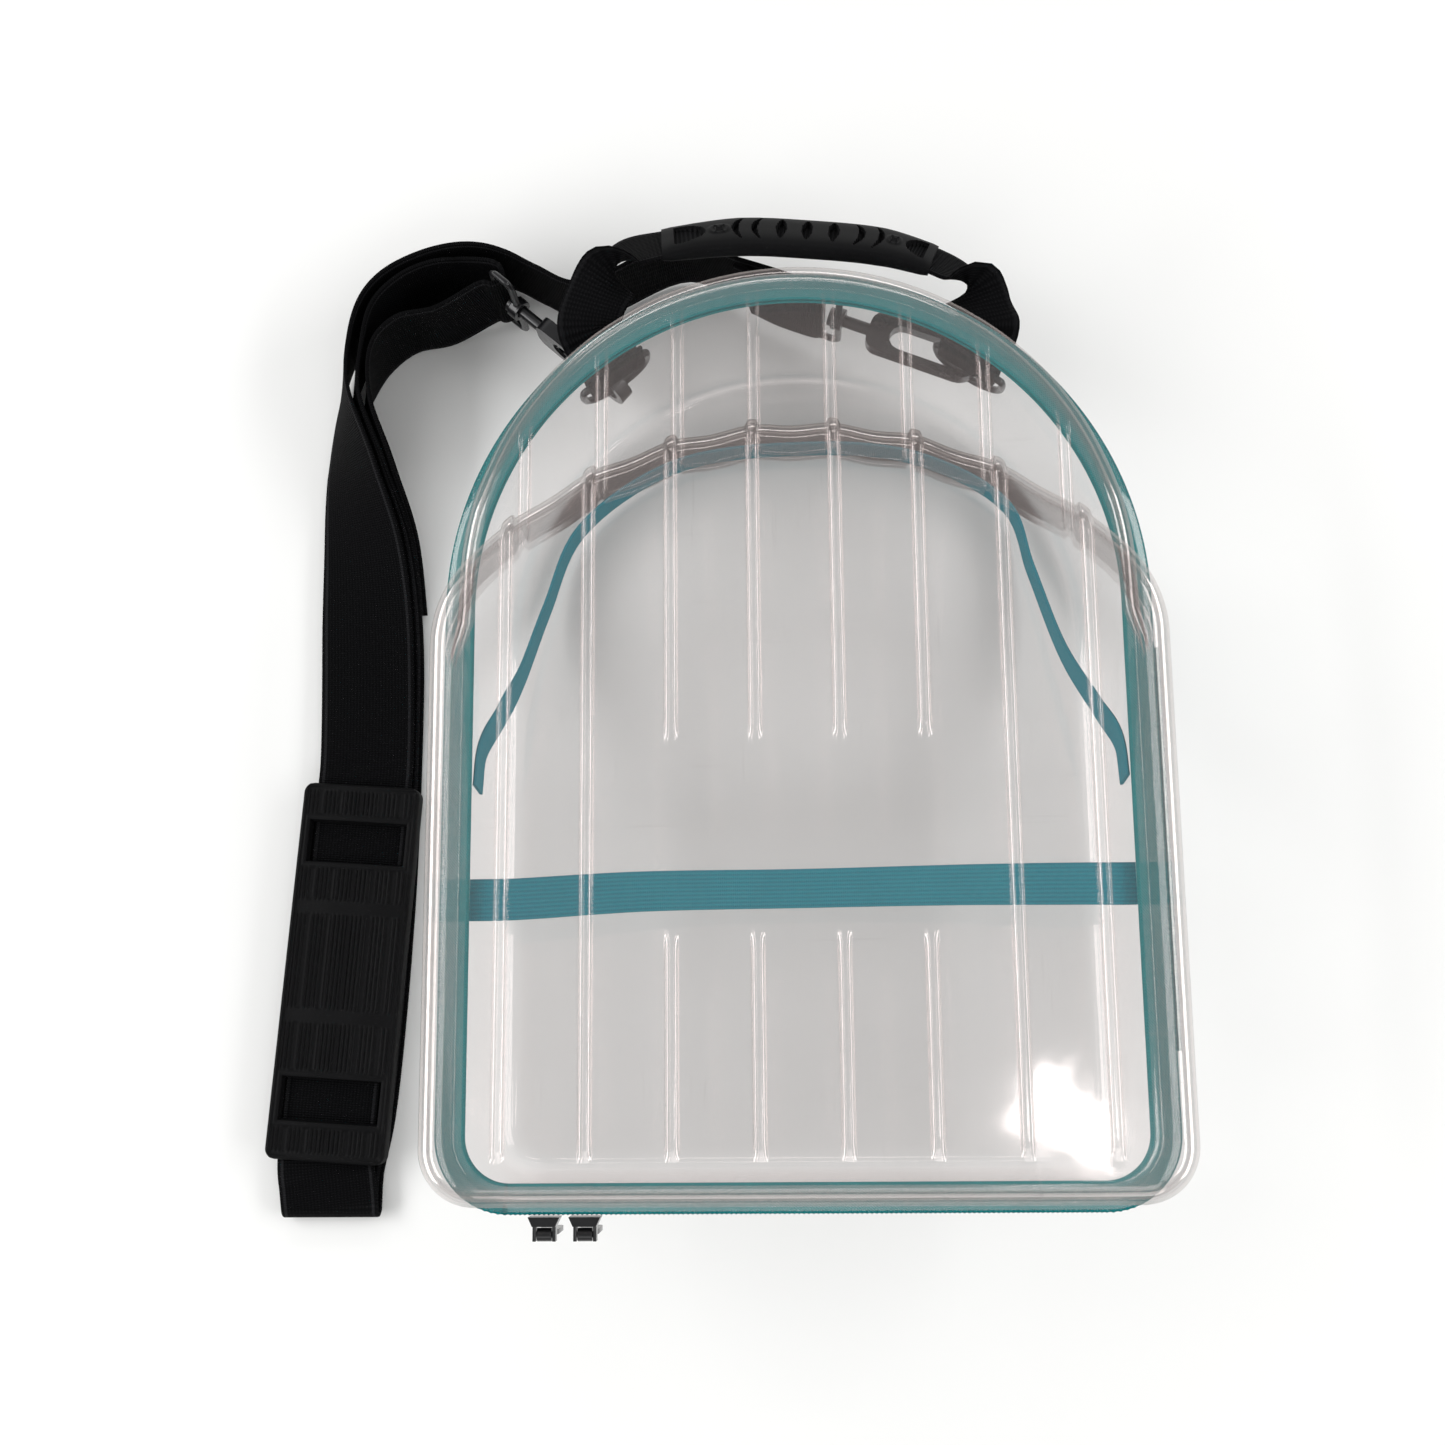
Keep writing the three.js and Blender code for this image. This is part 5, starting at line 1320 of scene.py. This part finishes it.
for name, body, width in (("hook_body_left", "case", 0.7), ("hook_gate_left", "gate", 0.35),
                          ("hook_body_right", "case", 0.7), ("hook_eye_left", "case", 0.2),
                          ("hook_eye_right", "case", 0.2), ("zip_slider_a", "case", 0.4),
                          ("zip_slider_b", "case", 0.4), ("zip_pull_a", "pull_a", 0.3),
                          ("zip_pull_b", "pull_b", 0.3)):
    softened(f"{name}_cast", name, body, width)

# %% [markdown]
# On the right side the zipper stops and a strip of the same teal cloth joins the halves. It is a
# softened copy of its solid too, with cloth in place of the metal.

# %% Cloth hinge
hinge = softened("hinge_strip", "hinge_tape", "case", 0.25)
hinge.data.materials.clear()


def hinge_cloth():
    """The tapes' weave, laid by place on the strip, with painted shade in its furrows."""
    finish = Finish("hinge_cloth", Roughness=0.9, Specular_IOR_Level=0.15)
    _, y, z = finish.place()
    weave = y.wave(1.1) * z.wave(0.9)
    clouds = finish.noise(24.0, 3.0)
    # Painted shade: the weave's colour turns darker where its bump is low, in the furrows.
    furrow_shade = (0.3 - weave * 0.5).most(0.0)
    finish.paint((0.016, 0.17, 0.185), (clouds, (0.024, 0.245, 0.25)), (furrow_shade, (0.006, 0.08, 0.09)))
    finish.relief(weave * 0.12 + clouds * 0.1)
    return finish.material


hinge.data.materials.append(hinge_cloth())

# %% [markdown]
# The photograph is taken from above the lower end with a normal lens, over a white table under soft
# light. The camera stands where its perspective fits the outline of the case and of its parts.

# %% Camera
EYE = Vector((-0.0002, -0.1120, 0.6675))
RIGHT = Vector((0.9989, -0.0088, -0.0468))
UPWARD = Vector((0.0173, 0.9827, 0.1842))
AHEAD = Vector((-0.0444, 0.1848, -0.9818))
SENSOR = 36.0
PICTURE = 1445.0
FOCAL_PIXELS = 1674.57

camera_data = bpy.data.cameras.new("camera")
camera_data.sensor_width = SENSOR
camera_data.lens = FOCAL_PIXELS / PICTURE * SENSOR
camera_data.clip_start = 0.01
camera = bpy.data.objects.new("camera", camera_data)
turn = Matrix((RIGHT, UPWARD, -AHEAD)).transposed()
camera.matrix_world = Matrix.Translation(EYE) @ turn.to_4x4()
bpy.context.scene.collection.objects.link(camera)
bpy.context.scene.camera = camera

# %% [markdown]
# The floor is a white table that only carries the shadows. It is stage, not part of the object.

# %% Floor
floor_mesh = bpy.data.meshes.new("floor")
floor_mesh.from_pydata([(-3, -3, 0), (3, -3, 0), (3, 3, 0), (-3, 3, 0)], [], [(0, 1, 2, 3)])
floor = bpy.data.objects.new("floor", floor_mesh)
floor.location.z = -0.0003
bpy.context.scene.collection.objects.link(floor)
floor_finish = Finish("white_table", Roughness=0.6, Specular_IOR_Level=0.2)
floor_finish.paint((0.86, 0.86, 0.85))
floor_mesh.materials.append(floor_finish.material)


# %% [markdown]
# A clear object is seen by what it reflects. Two long banks beside it run the same way as the ribs,
# so each rib shows a bright line on either side. A small window gives the one sharp reflection on
# the face, and the broad lights above and in front keep the table white.

# %% Light
def soft_light(name, place, target, size, power):
    """Rectangular light that looks at its target. size holds its level side and its other side."""
    data = bpy.data.lights.new(name, "AREA")
    data.shape = "RECTANGLE"
    data.size, data.size_y = size
    data.energy = power
    light = bpy.data.objects.new(name, data)
    light.location = place
    aim = Vector(target) - Vector(place)
    light.rotation_euler = aim.to_track_quat("-Z", "Y").to_euler()
    bpy.context.scene.collection.objects.link(light)


soft_light("overhead", (-1.05, 0.35, 1.35), (0, 0, 0), (1.0, 1.0), 3.5)
soft_light("front", (0.2, -1.3, 1.4), (0, 0, 0), (1.3, 0.8), 5.0)
for side, x, z in (("left", -1.05, 0.70), ("right", 1.05, 0.80)):
    soft_light(f"{side}_bank", (x, -0.05, z), (0, 0.0, 0.1), (1.5, 0.42), 10.5)
soft_light("window", (0.189, -0.174, 0.86), (0.076, -0.107, 0.14), (0.05, 0.07), 0.09)
soft_light("far_bank", (-0.1, 1.2, 0.75), (0, 0.05, 0.05), (1.2, 0.2), 3.0)
world = bpy.data.worlds.new("studio")
world.use_nodes = True
world.node_tree.nodes["Background"].inputs["Color"].default_value = (1.0, 1.0, 1.0, 1.0)
world.node_tree.nodes["Background"].inputs["Strength"].default_value = 0.36
bpy.context.scene.world = world
bpy.context.scene.view_settings.view_transform = "Standard"
